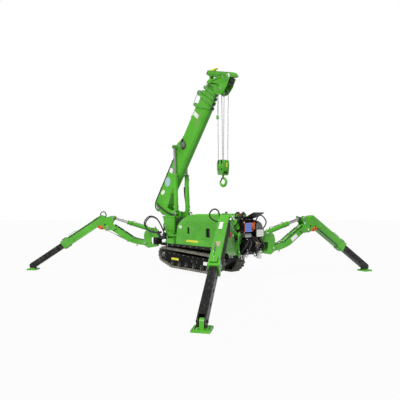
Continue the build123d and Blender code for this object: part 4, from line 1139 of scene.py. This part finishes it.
def head_details():
    trim, dark, metal_bits = Shape(), Shape(), Shape()
    for place in both_sides(boom_frame, cheek_side):
        metal_bits.lathe(place, sheave, [(0.024, -0.001), (0.024, 0.011), (0.018, 0.015), (0.01, 0.016)], 28)
        for a, spot in ring_spots(sheave, 0.046, 4, 0.5):
            metal_bits.bolt(place, spot, 0.0055, 0.006, 0.005, a)
        for x, n in ((2.44, -0.01), (2.44, 0.06), (2.5, -0.08), (2.56, -0.12)):
            metal_bits.bolt(place, (x, n), 0.0065, 0.0, 0.006, 0.5)
        trim.lathe(place, (2.485, 0.04), [(0.036, -0.001), (0.036, 0.01), (0.028, 0.014)], 28)
        trim.plate(place, [(2.5, 0.02), (2.63, -0.15), (2.655, -0.14), (2.525, 0.04)], 0.0, 0.007, 0.002)
        trim.plate(place, [(2.43, 0.06), (2.47, 0.06), (2.47, 0.118), (2.43, 0.118)], 0.0, 0.012, 0.003)
    # Dark parts on each cheek's face: a small dark disc above the sheave, and a thin dark strip that is
    # painted shade for the slot between the cheek and the last section
    for place in both_sides(boom_frame, cheek_side):
        # Painted shade: this dark strip stands for the shaded slot between the cheek and the last section
        dark.plate(place, [(2.436, 0.064), (2.45, 0.068), (2.516, -0.118), (2.5, -0.126)], -0.001, 0.003,
            0.001, 1)
        dark.lathe(place, (2.498, -0.157), [(0.014, -0.001), (0.014, 0.003), (0.01, 0.004)], 24)
        trim.lathe(place, (2.488, -0.235), [(0.066, -0.001), (0.066, 0.004), (0.06, 0.007)], 48)
    # The beam: side plates, end caps and the round plate with two holes
    for place in both_sides(boom_frame, 0.04):
        trim.plate(place, [(2.545, 0.215), (2.585, 0.205), (2.765, -0.3), (2.745, -0.345), (2.735, -0.335),
            (2.56, 0.165)], -0.001, 0.005, 0.002)
        for t in (0.12, 0.32, 0.52, 0.72):
            x, n = 2.56 + 0.195 * t, 0.215 - 0.54 * t
            metal_bits.bolt(place, (x, n), 0.0058, 0.004, 0.006, t)
    cap = basis(boom_point(2.565, 0.256, 0), (0, 1, 0), (cos(boom_angle), 0, sin(boom_angle)))
    dark.block(cap, (0, 0), (0.088, 0.076), -0.006, 0.01, 0.008, 3)
    dark.block(boom_frame(0), (2.672, -0.328), (0.05, 0.034), -0.04, 0.04, 0.006, 3)
    dark.block(boom_frame(0), (2.604, -0.326), (0.04, 0.024), -0.05, 0.05, 0.006, 3)
    oval = Shape()
    for place in both_sides(boom_frame, 0.046):
        oval.lathe(place, (2.697, -0.258), [(0.042, -0.002), (0.042, 0.004), (0.038, 0.007)], 40)
        for step in (-0.018, 0.018):
            spot = (2.697 + step * sin(boom_angle), -0.258 + step * cos(boom_angle))
            dark.lathe(place, spot, [(0.0125, 0.006), (0.0125, 0.0085), (0.009, 0.009)], 24)
        oval.lathe(place, (2.65, -0.15), [(0.012, -0.002), (0.012, 0.003)], 20)
    oval.finish("beam_round_plate", "section_5", white)
    # Lamp on the beam's upper side
    lamp = Shape()
    top = boom_frame(0)
    lamp.plate(top, [(2.606, 0.228), (2.632, 0.222), (2.66, 0.136), (2.634, 0.14)], -0.03, 0.03, 0.004)
    lamp.plate(top, [(2.632, 0.204), (2.65, 0.2), (2.704, 0.104), (2.69, 0.098), (2.65, 0.15)], -0.016, 0.016,
        0.003)
    lamp.finish("beam_lamp", "section_5", yellow)
    # Rope guide rollers
    for y in (-fall_side, fall_side):
        metal_bits.lathe(boom_frame(y - 0.01), (2.65, -0.28), [(0.012, 0), (0.02, 0.002), (0.012, 0.01),
            (0.02, 0.018), (0.012, 0.02)], 24)
    trim.finish("head_trim", "section_5", green)
    dark.finish("head_dark_parts_and_slot_shade", "section_5", soft_black)
    metal_bits.finish("head_fixings", "section_5", steel)
    # Spokes and hub rings of the head sheaves
    spokes = Shape()
    for y in (-fall_side, fall_side):
        for k in range(6):
            turned = Matrix.Rotation(pi / 3 * k, 4, "Z")
            place = boom_frame(y) @ Matrix.Translation((*sheave, 0)) @ turned
            spokes.plate(place, [(0.026, -0.006), (0.064, -0.004), (0.064, 0.004), (0.026, 0.006)], -0.0135,
                0.0135, 0.0015, 1)
    spokes.finish("head_sheave_spokes", "section_5", green)


# Luffing cylinders

luff_top = along_line(pivot, boom_angle, 1.18, 0.2)
luff_angle = atan2(luff_top[1] - luff_foot[1], luff_top[0] - luff_foot[0])


def luff_point(along, up, y):
    x, z = along_line(luff_foot, luff_angle, along, up)
    return machine(x, y, z)


def luff_cross_frame(along, up, y):
    # Square to the cylinder's upper side
    return basis(luff_point(along, up, y), (0, 1, 0), (cos(luff_angle), 0, sin(luff_angle)))


def outward_frame(y, reach):
    # The plane beyond a cylinder's eye, with its normal away from the boom
    return side_frame(y - reach) if y < 0 else mirrored(side_frame(y + reach))


def luff_details():
    rings, pipes, bits = Shape(), Shape(), Shape()
    for y in (-luff_side, luff_side):
        axis = basis(luff_point(0, 0, y), (0, 1, 0), (-sin(luff_angle), 0, cos(luff_angle)))
        rings.lathe(axis, (0, 0), [(0.038, 0.05), (0.0415, 0.052), (0.0415, 0.072), (0.038, 0.074)], 40)
        rings.lathe(axis, (0, 0), [(0.041, 0.662), (0.0445, 0.664), (0.0445, 0.68), (0.042, 0.682)], 40)
        for along in (0.095, 0.63):
            port = luff_cross_frame(along, -0.034, y)
            bits.lathe(port, (0, 0), [(0.013, -0.004), (0.013, 0.014), (0.009, 0.016), (0.009, 0.024)], 20)
        line = [luff_point(a, -u, y) for a, u in ((0.63, 0.054), (0.612, 0.066), (0.57, 0.058), (0.5, 0.048),
            (0.3, 0.047), (0.17, 0.05), (0.125, 0.064), (0.095, 0.056))]
        pipes.tube(smooth_line(line, 5), 0.005, 10)
        for along in (0.25, 0.45):
            bits.block(luff_cross_frame(along, -0.036, y), (0, 0), (0.026, 0.014), 0.0, 0.019, 0.003)
        outward = outward_frame(y, 0.024)
        pin_head(bits, outward, luff_foot, 0.006, 0.012)
        bits.bolt(outward, (luff_foot[0] + 0.022, luff_foot[1]), 0.004, 0.0, 0.005)
    rings.finish("luff_rings", "luff_barrels", green)
    pipes.finish("luff_pipes", "luff_barrels", green)
    bits.finish("luff_fixings", "luff_barrels", steel)
    # A valve block and its rubber hose along the left cylinder, on the side toward the boom
    valve = Shape()
    valve.block(luff_cross_frame(0.43, 0.052, luff_side), (0, 0), (0.044, 0.11), -0.02, 0.016, 0.004)
    line = [luff_point(a, u, luff_side) for a, u in ((0.4, 0.07), (0.35, 0.082), (0.29, 0.07), (0.2, 0.054),
        (0.11, 0.054), (0.05, 0.062))]
    valve.tube(smooth_line(line, 6), 0.01)
    line = [luff_point(a, u, luff_side) for a, u in ((0.485, 0.052), (0.52, 0.06), (0.56, 0.052),
        (0.62, 0.048))]
    valve.tube(smooth_line(line, 6), 0.008)
    valve.finish("luff_valve", "luff_barrels", hose)
    caps = Shape()
    for y in (-luff_side, luff_side):
        outward = outward_frame(y, 0.024)
        pin_head(caps, outward, luff_top, 0.01, 0.014)
        caps.lathe(outward, luff_top, [(0.034, -0.001), (0.034, 0.003), (0.031, 0.004)])
    caps.finish("luff_rod_caps", "luff_rods", green)


# Hoist: limit weight, block and hook

sheave_x, sheave_z = along_line(pivot, boom_angle, *sheave)
block_z = 1.745
hook_z = block_z - 0.24


def block_frame(y, rise=0.0):
    # As side_frame, from the middle of the hook block or from a height over it
    return side_frame(y) @ Matrix.Translation((sheave_x, block_z + rise, 0))


def rope_falls():
    # Four falls, from the hook block up to the head sheaves
    shape = Shape()
    for side in (-1, 1):
        for across in (-fall_side, fall_side):
            shape.tube([machine(sheave_x + side * fall_low, across, block_z),
                machine(sheave_x + side * fall_high, across, sheave_z)], 0.005, 14)
    made = shape.build("rope_falls", rope)
    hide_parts("hoist_ropes")
    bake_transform(made)


def hoist_details():
    rope_falls()
    weight = Shape()
    fall = top_frame(2.5)
    spot = (sheave_x - fall_high, -fall_side)
    weight.lathe(fall, spot, [(0.012, 0.0), (0.022, 0.006), (0.022, 0.045), (0.014, 0.056), (0.009, 0.07)],
        28)
    weight.finish("limit_weight", "falls", green)
    cord = Shape()
    cord.tube([machine(spot[0] + 0.012, spot[1], 2.556), machine(spot[0] + 0.02, spot[1], 2.72),
        machine(sheave_x - 0.045, spot[1], sheave_z - 0.078)], 0.0022, 8)
    cord.finish("limit_cord", "falls", soft_black)

    window_shade, trim, bits = Shape(), Shape(), Shape()
    for place in both_sides(block_frame, 0.064):
        trim.plate(place, [(-0.01, 0.094), (0.01, 0.094), (0.03, 0.02), (0.012, -0.092), (-0.012, -0.092),
            (-0.03, 0.02)], -0.001, 0.006, 0.003)
        # Painted shade: dark patches on each cheek where its windows are, standing for the shaded inside seen
        # through them
        for x in (-0.032, 0.032):
            window_shade.block(place, (x, 0.06), (0.036, 0.062), -0.006, 0.0012, 0.0008, 1)
            window_shade.block(place, (x, -0.052), (0.03, 0.032), -0.006, 0.0012, 0.0008, 1)
        trim.lathe(place, (0, 0), [(0.022, 0.004), (0.022, 0.011), (0.016, 0.016), (0.009, 0.017)], 28)
        for x, z in ((-0.05, 0.084), (0.05, 0.084), (-0.05, -0.1), (0.05, -0.1), (-0.062, 0.0), (0.062, 0.0)):
            bits.bolt(place, (x, z), 0.0058, 0.0, 0.006)
        bits.lathe(place, (0, -0.125), [(0.014, -0.001), (0.014, 0.006), (0.009, 0.009)], 24)
    window_shade.finish("block_window_shade", "hook_block", soft_black)
    add_film("block_yellow_film", "hook_block", yellow, cross_frame(sheave_x + 0.0785),
        (0.006, block_z + 0.016), (0.036, 0.076), 0.0, 0.0, 0.017)
    # Rounded guard over each end of the sheaves
    for side in (-1, 1):
        end_face = cross_frame(sheave_x + 0.074) if side > 0 else mirrored(cross_frame(sheave_x - 0.074))
        outline = [(-0.046, block_z + 0.06), (-0.034, block_z + 0.086), (0.034, block_z + 0.086),
            (0.046, block_z + 0.06), (0.052, block_z - 0.01), (0.038, block_z - 0.072),
            (-0.038, block_z - 0.072), (-0.052, block_z - 0.01)]
        trim.plate(end_face, outline, -0.016, 0.004, 0.006, 3)
    trim.finish("block_cheek_plates", "hook_block", green)
    bits.finish("block_fixings", "hook_block", steel)

    # Hook: a shank that runs on into one bent bar, thickest at the bottom, ending in a point
    # Columns: across, height, half thickness of the bar
    path = [(0.0, 0.11, 0.016), (0.0, 0.07, 0.0165), (0.01, 0.05, 0.0185), (0.038, 0.04, 0.02),
        (0.064, 0.012, 0.0215), (0.068, -0.022, 0.0225), (0.048, -0.054, 0.0235), (0.01, -0.068, 0.024),
        (-0.028, -0.058, 0.0225), (-0.052, -0.034, 0.0195), (-0.062, -0.01, 0.015), (-0.07, 0.008, 0.0095)]
    bar_sides = 18
    shape = Shape()
    line = smooth_line(path, 5)
    rings = []
    for k, spot in enumerate(line):
        ahead = line[min(k + 1, len(line) - 1)] - line[max(k - 1, 0)]
        along = Vector((ahead.x, ahead.y)).normalized()
        across = Vector((-along.y, along.x))
        r = spot.z
        ring = []
        for n in range(bar_sides):
            a = 2 * pi * n / bar_sides
            out = r * cos(a)
            ring.append(shape.bm.verts.new(machine(sheave_x + spot.x + across.x * out, r * 0.8 * sin(a),
                hook_z + spot.y + across.y * out)))
        rings.append(ring)
    for low, high in zip(rings, rings[1:]):
        for n in range(bar_sides):
            m = (n + 1) % bar_sides
            shape.bm.faces.new((low[n], low[m], high[m], high[n]))
    shape.bm.faces.new(list(reversed(rings[0])))
    shape.bm.faces.new(rings[-1])
    shape.lathe(top_frame(hook_z + 0.104), (sheave_x, 0), [(0.016, 0.0), (0.016, 0.03), (0.022, 0.032),
        (0.022, 0.046), (0.016, 0.048)], 28)
    shape.plate(top_frame(block_z - 0.112), hexagon((sheave_x, 0), 0.024), 0.0005, 0.015, 0.002)
    shape.lathe(top_frame(hook_z + 0.15), (sheave_x, 0), [(0.016, 0.0),
        (0.016, block_z - 0.096 - hook_z - 0.15)], 28)
    shape.finish("forged_hook", "hook", green, smooth=50.0, replaces=["hook"])
    latch = Shape()
    place = block_frame(0, hook_z - block_z)
    latch.plate(place, [(-0.008, 0.06), (-0.026, 0.056), (-0.066, 0.004), (-0.06, -0.006), (-0.05, -0.002)],
        -0.009, 0.009, 0.002)
    latch.lathe(place, (-0.014, 0.054), [(0.008, -0.02), (0.008, 0.02)], 20)
    latch.finish("hook_latch", "hook", soft_black)


# Outriggers: the first number is the distance out from the swivel, the second is the height

thigh_root = (0.195, 0.476)
lift_base = (0.09, 0.705)
strut_foot = (0.51, 0.5)
strut_head = (0.912, 0.7)
lift_pin = (0.775, 0.927)
knee_pin = (0.865, 0.743)
shin_top = (1.0, 0.88)
ankle = (2.185, 0.078)
lift_angle = atan2(lift_pin[1] - lift_base[1], lift_pin[0] - lift_base[0])
shin_angle = atan2(ankle[1] - shin_top[1], ankle[0] - shin_top[0])
shin_length = 0.796
barrel_length = 0.452
# Which side of each leg carries its strut
strut_side = {"front_right": 1, "front_left": -1, "rear_right": 1, "rear_left": -1}


def leg_spot(leg, t, z, offset=0.0):
    return leg_frame(leg, offset) @ Vector((t, z, 0))


def on_shin(along, up):
    # A place by its distance along the shin's line and square to it, as distance out and height
    return along_line(shin_top, shin_angle, along, up)


def leg_line(leg, points, offset=0.0):
    return [leg_spot(leg, t, z, offset) for t, z in points]


def swivel_details(leg, name, both):
    body = f"swivel_{name}"
    pins = Shape()
    for place in both:
        pin_head(pins, place, lift_base, 0.07, 0.017)
        pin_head(pins, place, thigh_root, 0.07, 0.018)
        for spot in ((0.148, 0.69), (0.168, 0.64), (0.11, 0.412), (0.158, 0.424), (0.02, 0.69),
                (-0.02, 0.645)):
            pins.bolt(place, spot, 0.0062, 0.07, 0.006, 0.4)
    pins.finish(f"swivel_pins_{name}", body, steel)
    trim = Shape()
    for place in both:
        trim.lathe(place, lift_base, [(0.04, 0.069), (0.04, 0.074), (0.036, 0.076)], 36)
        trim.lathe(place, thigh_root, [(0.038, 0.069), (0.038, 0.074), (0.034, 0.076)], 36)
    post = basis(leg_spot(leg, 0, 0.606), (1, 0, 0), (0, 1, 0))
    trim.lathe(post, (0, 0), [(0.036, -0.004), (0.036, 0.01), (0.028, 0.014), (0.014, 0.016), (0.012, 0.026)],
        36)
    trim.finish(f"swivel_bosses_{name}", body, green)
    # Hoses from the post over to the lift cylinder and the thigh
    shape, ends = Shape(), Shape()
    routes = [
        (-0.02, ((0.02, 0.61), (0.012, 0.65), (0.005, 0.7), (0.012, 0.742), (0.03, 0.764))),
        (0.02, ((0.02, 0.61), (0.06, 0.64), (0.12, 0.62), (0.15, 0.57), (0.17, 0.53))),
    ]
    for offset, points in routes:
        line = leg_line(leg, points, offset)
        hose_run(shape, line, 0.008)
        fitting(ends, line[0], line[1], 0.011, 0.03)
    shape.finish(f"swivel_hoses_{name}", body, hose)
    ends.finish(f"swivel_hose_ends_{name}", body, steel)


def thigh_details(leg, name, both):
    body = f"thigh_{name}"
    heading = leg[3]
    panels = Shape()
    for place in both:
        panels.plate(place, [(0.435, 0.5), (0.515, 0.532), (0.76, 0.704), (0.762, 0.775), (0.69, 0.735),
            (0.545, 0.642), (0.43, 0.56)], 0.049, 0.053, 0.0015, 1)
        panels.lathe(place, knee_pin, [(0.044, 0.071), (0.044, 0.075), (0.04, 0.077)], 36)
    panels.finish(f"thigh_panels_{name}", body, green)

    pins = Shape()
    for place in both:
        pin_head(pins, place, knee_pin, 0.08, 0.016)
        pin_head(pins, place, lift_pin, 0.08, 0.014)
        for spot in ((0.752, 0.742), (0.785, 0.738), (0.945, 0.868), (0.966, 0.846), (0.77, 0.88)):
            pins.bolt(place, spot, 0.006, 0.072, 0.006, 0.2)
    knob = basis(leg_spot(leg, 0.346, 0.452), (1, 0, 0), (0, -1, 0))
    pins.lathe(knob, (0, 0), [(0.006, -0.004), (0.006, 0.02), (0.012, 0.023), (0.014, 0.031), (0.01, 0.038)],
        20)
    pins.finish(f"thigh_pins_{name}", body, steel)

    shape = Shape()
    line = [(0.222, 0.54), (0.26, 0.547), (0.33, 0.562), (0.398, 0.585), (0.47, 0.632), (0.54, 0.68),
        (0.66, 0.758), (0.735, 0.806)]
    for side in (-1, 1):
        # Closer to the middle near the root, where the thigh is narrow
        points = [leg_spot(leg, t, z - 0.012, side * (0.036 if t < 0.35 else 0.052)) for t, z in line]
        shape.tube(smooth_line(points, 6), 0.007, 10)
    line = [(0.735, 0.794), (0.77, 0.803), (0.8, 0.778), (0.79, 0.738)]
    shape.tube(smooth_line(leg_line(leg, line, 0.052), 6), 0.007, 10)
    shape.finish(f"thigh_hoses_{name}", body, hose)
    clips = Shape()
    for t, z, lean in ((0.398, 0.57, 0.45), (0.56, 0.68, 0.58), (0.69, 0.766, 0.58)):
        up = (-sin(lean) * cos(heading), -sin(lean) * sin(heading), cos(lean))
        place = basis(leg_spot(leg, t, z), (-sin(heading), cos(heading), 0), up)
        clips.block(place, (0, 0), (0.122, 0.024), -0.007, 0.007, 0.003)
    clips.finish(f"hose_clips_{name}", body, green)

    # Gas strut beside the thigh, from a lug on the beam to one below the knee
    offset = strut_side[name] * 0.082
    start, finish = leg_spot(leg, *strut_foot, offset), leg_spot(leg, *strut_head, offset)
    strut = Shape()
    middle = start.lerp(finish, 0.55)
    strut.tube([start, middle], 0.0095, 16)
    strut.tube([middle, finish], 0.005)
    for spot in (strut_foot, strut_head):
        strut.lathe(leg_frame(leg, offset), spot, [(0.012, -0.007), (0.012, 0.007)], 20)
    strut.finish(f"gas_strut_{name}", body, strut_grey)
    lugs = Shape()
    place = leg_frame(leg) if offset > 0 else mirrored(leg_frame(leg))
    lugs.lathe(place, strut_foot, [(0.0075, 0.046), (0.0075, 0.092), (0.006, 0.094)], 20)
    lugs.lathe(place, strut_head, [(0.0075, 0.06), (0.0075, 0.092), (0.006, 0.094)], 20)
    lugs.plate(place, [(0.88, 0.69), (0.925, 0.684), (0.934, 0.73), (0.885, 0.722)], 0.06, 0.072, 0.002)
    lugs.plate(place, [(0.48, 0.49), (0.53, 0.488), (0.552, 0.548), (0.5, 0.54)], 0.048, 0.058, 0.002)
    lugs.finish(f"strut_lugs_{name}", body, green)

    # Orange bracket with two holes that locks the knee, and the lock hole above it
    orange_plate, holes = Shape(), Shape()
    for place in both:
        orange_plate.plate(place, [(0.926, 0.716), (0.985, 0.716), (1.044, 0.748), (1.044, 0.784),
            (0.985, 0.784), (0.926, 0.75)], 0.0715, 0.08, 0.003)
        for spot in ((0.958, 0.74), (1.012, 0.764)):
            holes.lathe(place, spot, [(0.0135, 0.0795), (0.0135, 0.0815), (0.0105, 0.0815), (0.0105, 0.08)],
                24)
            holes.lathe(place, spot, [(0.01, 0.079), (0.01, 0.0803)], 24)
        holes.lathe(place, (0.914, 0.8), [(0.015, 0.071), (0.015, 0.0735), (0.011, 0.0735), (0.011, 0.0725)],
            28)
    orange_plate.finish(f"lock_bracket_{name}", body, orange)
    holes.finish(f"lock_holes_{name}", body, soft_black)


def lift_details(leg, name):
    heading = leg[3]
    barrel = leg_cross_frame(leg, lift_base, lift_angle, 0)
    rings = Shape()
    rings.lathe(barrel, (0, 0), [(0.0385, 0.372), (0.042, 0.374), (0.042, 0.392), (0.0385, 0.394)], 40)
    rings.lathe(barrel, (0, 0), [(0.0355, 0.046), (0.0392, 0.048), (0.0392, 0.07), (0.0355, 0.072)], 40)
    rings.finish(f"barrel_rings_{name}", f"lift_barrel_{name}", green)
    ports = Shape()
    ahead = (cos(lift_angle) * cos(heading), cos(lift_angle) * sin(heading), sin(lift_angle))
    for along in (0.095, barrel_length - 0.095):
        up = basis(leg_spot(leg, *along_line(lift_base, lift_angle, along, 0.032)),
            (sin(heading), -cos(heading), 0), ahead)
        ports.lathe(mirrored(up) if (up.to_3x3() @ Vector((0, 0, 1))).z < 0 else up, (0, 0),
            [(0.013, -0.004), (0.013, 0.012), (0.009, 0.014), (0.009, 0.022)], 20)
    line = [leg_spot(leg, *along_line(lift_base, lift_angle, a, u)) for a, u in ((0.095, 0.05), (0.11, 0.06),
        (0.14, 0.05), (0.18, 0.043), (0.28, 0.043), (0.32, 0.05), (0.345, 0.06), (0.357, 0.05))]
    ports.tube(smooth_line(line, 5), 0.005, 10)
    ports.finish(f"barrel_ports_{name}", f"lift_barrel_{name}", steel)
    eye = Shape()
    eye.lathe(barrel, (0, 0), [(0.026, 0.668), (0.03, 0.672), (0.03, 0.692), (0.026, 0.696)])
    eye.finish(f"rod_collar_{name}", f"lift_rod_{name}", dark_steel, "chrome_rod")


# The loop of hose over each rear knee: distance out, height and offset to the side
knee_loop = [(0.915, 0.93, 0.02), (0.912, 0.985, 0.018), (0.928, 1.02, 0.012), (0.958, 1.033, 0.006),
    (0.988, 1.02, 0.0), (1.004, 0.988, -0.006), (1.006, 0.94, -0.01)]


def shin_head(leg, name):
    # The shin's end over the knee: it goes on past the tube between the cheeks, rounded above
    outline = [on_shin(a, u) for a, u in [(0.004, -0.07), (0.004, 0.07), (-0.04, 0.07)]
        + arc_points((-0.05, 0.02), 0.05, pi / 2, pi, 8) + [(-0.1, -0.02), (-0.092, -0.052), (-0.06, -0.07)]]
    head = Shape()
    head.plate(leg_frame(leg), outline, -0.056, 0.056, 0.004, 3)
    head.finish(f"shin_head_{name}", f"shin_{name}", green)


def shin_details(leg, name, both):
    body = f"shin_{name}"
    top = leg_cross_frame(leg, shin_top, shin_angle, 0)
    trim = Shape()
    trim.block(top, (0, 0.0735), (0.086, 0.007), 0.018, 0.11)
    # Collar: a thick lip at the foot and a raised back over it
    foot = leg_cross_frame(leg, shin_top, shin_angle, shin_length)
    for x, y, w, h in ((0, 0.066, 0.12, 0.02), (0, -0.066, 0.12, 0.02), (0.0515, 0, 0.019, 0.15),
            (-0.0515, 0, 0.019, 0.15)):
        trim.block(foot, (x, y), (w, h), -0.028, 0.003, 0.003)
    trim.block(foot, (0, 0.088), (0.078, 0.016), -0.118, -0.03, 0.006, 3)
    trim.finish(f"shin_trim_{name}", body, green)
    bolts = Shape()
    for place in both:
        for along, up in ((shin_length - 0.1, 0.055), (shin_length - 0.045, 0.055),
                (shin_length - 0.1, -0.05), (shin_length - 0.045, -0.05), (0.026, 0.045), (0.026, -0.045)):
            bolts.bolt(place, on_shin(along, up), 0.0062, 0.056, 0.006, 0.3)
    for along in (shin_length - 0.095, shin_length - 0.05):
        up = leg_cross_frame(leg, shin_top, shin_angle, along)
        bolts.lathe(up @ Matrix.Rotation(-pi / 2, 4, "X"), (0, 0), [(0.01, 0.092), (0.01, 0.101),
            (0.007, 0.103)], 20)
    bolts.finish(f"shin_bolts_{name}", body, steel)
    # Guard rail and hose along the upper side, and the loop that stands over the knee
    rail = Shape()
    line = [on_shin(a, u) for a, u in ((0.47, 0.074), (0.48, 0.094), (0.5, 0.098), (0.6, 0.098),
        (0.62, 0.094), (0.63, 0.074))]
    rail.tube(smooth_line(leg_line(leg, line, 0.02), 4), 0.005, 10)
    rail.finish(f"shin_rail_{name}", body, bright)
    shape = Shape()
    rear = leg[1] < 0
    if rear:
        points = [leg_spot(leg, t, z, offset * strut_side[name]) for t, z, offset in knee_loop]
        shape.tube(smooth_line(points, 6), 0.0095)
    edge = 0.058 if rear else -0.06
    for side in (-1, 1):
        line = [on_shin(a, edge) for a in (-0.04, 0.25, 0.45, 0.64)]
        shape.tube(leg_line(leg, line, side * 0.061), 0.0065, 8)
    shape.finish(f"shin_hoses_{name}", body, hose)
    cover = Shape()
    outline = [on_shin(a, u) for a, u in ((0.15, -0.03), (0.66, -0.03), (0.66, 0.04), (0.15, 0.04))]
    for place in both:
        cover.plate(place, outline, 0.055, 0.0585, 0.0015, 1)
    cover.finish(f"shin_panels_{name}", body, green)


def foot_details(leg, name, both):
    heading = leg[3]
    lines = Shape()
    for k in range(3):
        hole = on_shin(0.9 + 0.17 * k, 0.0)
        for place in both:
            lines.lathe(place, hole, [(0.014, 0.0415), (0.014, 0.0445), (0.009, 0.0445), (0.009, 0.043)], 24)
    lines.finish(f"leg_hole_rims_{name}", f"inner_leg_{name}", black)

    pad = basis(leg_spot(leg, ankle[0], 0.018), (cos(heading), sin(heading), 0),
        (-sin(heading), cos(heading), 0))
    ribs = Shape()
    for y in (-0.06, 0.06):
        wall = pad @ Matrix.Translation((0, y, 0)) @ Matrix.Rotation(pi / 2, 4, "X")
        ribs.plate(wall, [(-0.072, -0.001), (0.072, -0.001), (0.03, 0.02), (-0.03, 0.02)], -0.003, 0.003,
            0.001, 1)
    for x in (-0.0805, 0.0805):
        ribs.block(pad, (x, 0), (0.007, 0.166), -0.001, 0.006)
    for y in (-0.0805, 0.0805):
        ribs.block(pad, (0, y), (0.154, 0.007), -0.001, 0.006)
    ribs.finish(f"pad_ribs_{name}", f"foot_pad_{name}", green)
    pins = Shape()
    for place in both:
        pin_head(pins, place, ankle, 0.0425, 0.013)
    pins.finish(f"pad_pins_{name}", f"foot_pad_{name}", soft_black)


def near_loop():
    # The loop of hose that stands beside the near leg's knee
    shape = Shape()
    line = machine_line(((1.5, -1.075, 0.9), (1.462, -1.12, 0.925), (1.445, -1.15, 0.962),
        (1.45, -1.158, 1.004), (1.472, -1.144, 1.04), (1.497, -1.117, 1.052), (1.519, -1.09, 1.032),
        (1.528, -1.078, 0.99), (1.53, -1.07, 0.945)))
    shape.tube(smooth_line(line, 6), 0.009)
    shape.finish("near_hose_loop", "shin_front_right", hose)
    for leg in legs[:2]:
        pack = Shape()
        for edge in (-0.044, -0.022, 0.0, 0.022):
            line = [on_shin(a, edge) for a in (-0.03, 0.12, 0.3, 0.5, 0.64)]
            pack.tube(leg_line(leg, line, -0.062), 0.0085, 10)
        pack.finish(f"hose_pack_{leg[0]}", f"shin_{leg[0]}", hose)


def leg_films():
    # Blank films on the legs that face the camera
    flat = Matrix.Rotation(-pi / 2, 4, "X")
    # Columns: name, material, distance along the shin, shift sideways, size, height over its line
    shin_films = [
        ("near_shin_white_film", white, 0.14, -0.012, (0.04, 0.13), 0.077),
        ("near_shin_tan_film", tan, 0.46, 0, (0.048, 0.085), 0.07),
    ]
    for name, material, along, x, size, base in shin_films:
        place = leg_cross_frame(legs[0], shin_top, shin_angle, along) @ flat
        add_film(name, "shin_front_right", material, place, (x, 0), size, base)
    place = leg_frame(legs[1])
    add_film("thigh_white_film", "thigh_front_left", white, place, (0.6, 0.625), (0.13, 0.062), 0.053, 0.6)
    add_film("thigh_pale_film", "thigh_front_left", cyan, place, (0.795, 0.85), (0.034, 0.034), 0.072, 0.3)
    add_film("thigh_small_film", "thigh_rear_right", white, leg_frame(legs[2]), (0.8, 0.8), (0.04, 0.034),
        0.072, 0.3)


for side_name, place in zip(("right", "left"), both_sides(side_frame, deck_side)):
    track_details(side_name, place)
    cover_details(side_name, place)
roof_details()
deck_details()
console_details()
hose_bundles()
column_details()
boom_details()
dial_details()
collar_details()
section_rods()
head_details()
luff_details()
hoist_details()
for leg in legs:
    name = leg[0]
    both = (leg_frame(leg), mirrored(leg_frame(leg)))
    swivel_details(leg, name, both)
    shin_head(leg, name)
    thigh_details(leg, name, both)
    lift_details(leg, name)
    shin_details(leg, name, both)
    foot_details(leg, name, both)
near_loop()
leg_films()


# Stage: a plain pale floor, a wide soft lamp and an even sky

# How much of the floor, as the camera sees it, is plain white instead of lit
glow_share = 0.95


def floor_material():
    n = Nodes("floor")
    n.set(Base_Color=n.ramp(n.noise(0.6, 2.0), [(0.3, (0.42, 0.42, 0.42)), (0.7, (0.44, 0.44, 0.44))]))
    n.set(Roughness=0.9)
    light = n.add("ShaderNodeLightPath")
    seen = n.math("MAXIMUM", light.outputs["Is Camera Ray"], light.outputs["Is Glossy Ray"])
    glow = n.add("ShaderNodeEmission")
    glow.inputs["Color"].default_value = (1, 1, 1, 1)
    blend = n.add("ShaderNodeMixShader")
    n.link(n.math("MULTIPLY", seen, glow_share), blend.inputs["Fac"])
    n.link(n.shader.outputs["BSDF"], blend.inputs[1])
    n.link(glow.outputs["Emission"], blend.inputs[2])
    n.link(blend.outputs["Shader"], n.tree.nodes["Material Output"].inputs["Surface"])
    return n.material


def add_light(name, energy, source):
    lamp = bpy.data.lights.new(name, "SUN")
    lamp.energy = energy
    lamp.angle = radians(24)
    lamp.color = (1.0, 0.985, 0.96)
    item = bpy.data.objects.new(name, lamp)
    bpy.context.scene.collection.objects.link(item)
    item.rotation_euler = Vector(source).to_track_quat("Z", "Y").to_euler()


def make_stage():
    mesh = bpy.data.meshes.new("floor")
    bm = bmesh.new()
    bmesh.ops.create_circle(bm, cap_ends=True, segments=96, radius=60)
    bm.to_mesh(mesh)
    bm.free()
    floor = new_object("floor", mesh)
    mesh.materials.append(floor_material())
    add_light("sun", 3.0, (0.6, -1.2, 1.25))
    add_light("back_light", 0.7, (-1.1, 0.8, 0.55))
    world = bpy.data.worlds.new("sky")
    bpy.context.scene.world = world
    world.use_nodes = True
    tree = world.node_tree
    backdrop = tree.nodes["Background"]
    path = tree.nodes.new("ShaderNodeLightPath")
    strength = tree.nodes.new("ShaderNodeMapRange")
    strength.inputs["To Min"].default_value = 0.36
    strength.inputs["To Max"].default_value = 1.0
    tree.links.new(path.outputs["Is Camera Ray"], strength.inputs["Value"])
    tree.links.new(strength.outputs["Result"], backdrop.inputs["Strength"])
    backdrop.inputs["Color"].default_value = (1, 1, 1, 1)


def make_camera():
    data = bpy.data.cameras.new("camera")
    data.sensor_width = 36
    data.lens = 34.54
    camera = bpy.data.objects.new("camera", data)
    bpy.context.scene.collection.objects.link(camera)
    camera.location = machine(4.83, -4.18, 1.0)
    yaw = radians(139.66)
    pitch = radians(2.02)
    look = Vector((cos(pitch) * cos(yaw), cos(pitch) * sin(yaw), sin(pitch)))
    camera.rotation_euler = look.to_track_quat("-Z", "Y").to_euler()
    bpy.context.scene.camera = camera
    bpy.context.scene.view_settings.view_transform = "Standard"


make_stage()
make_camera()
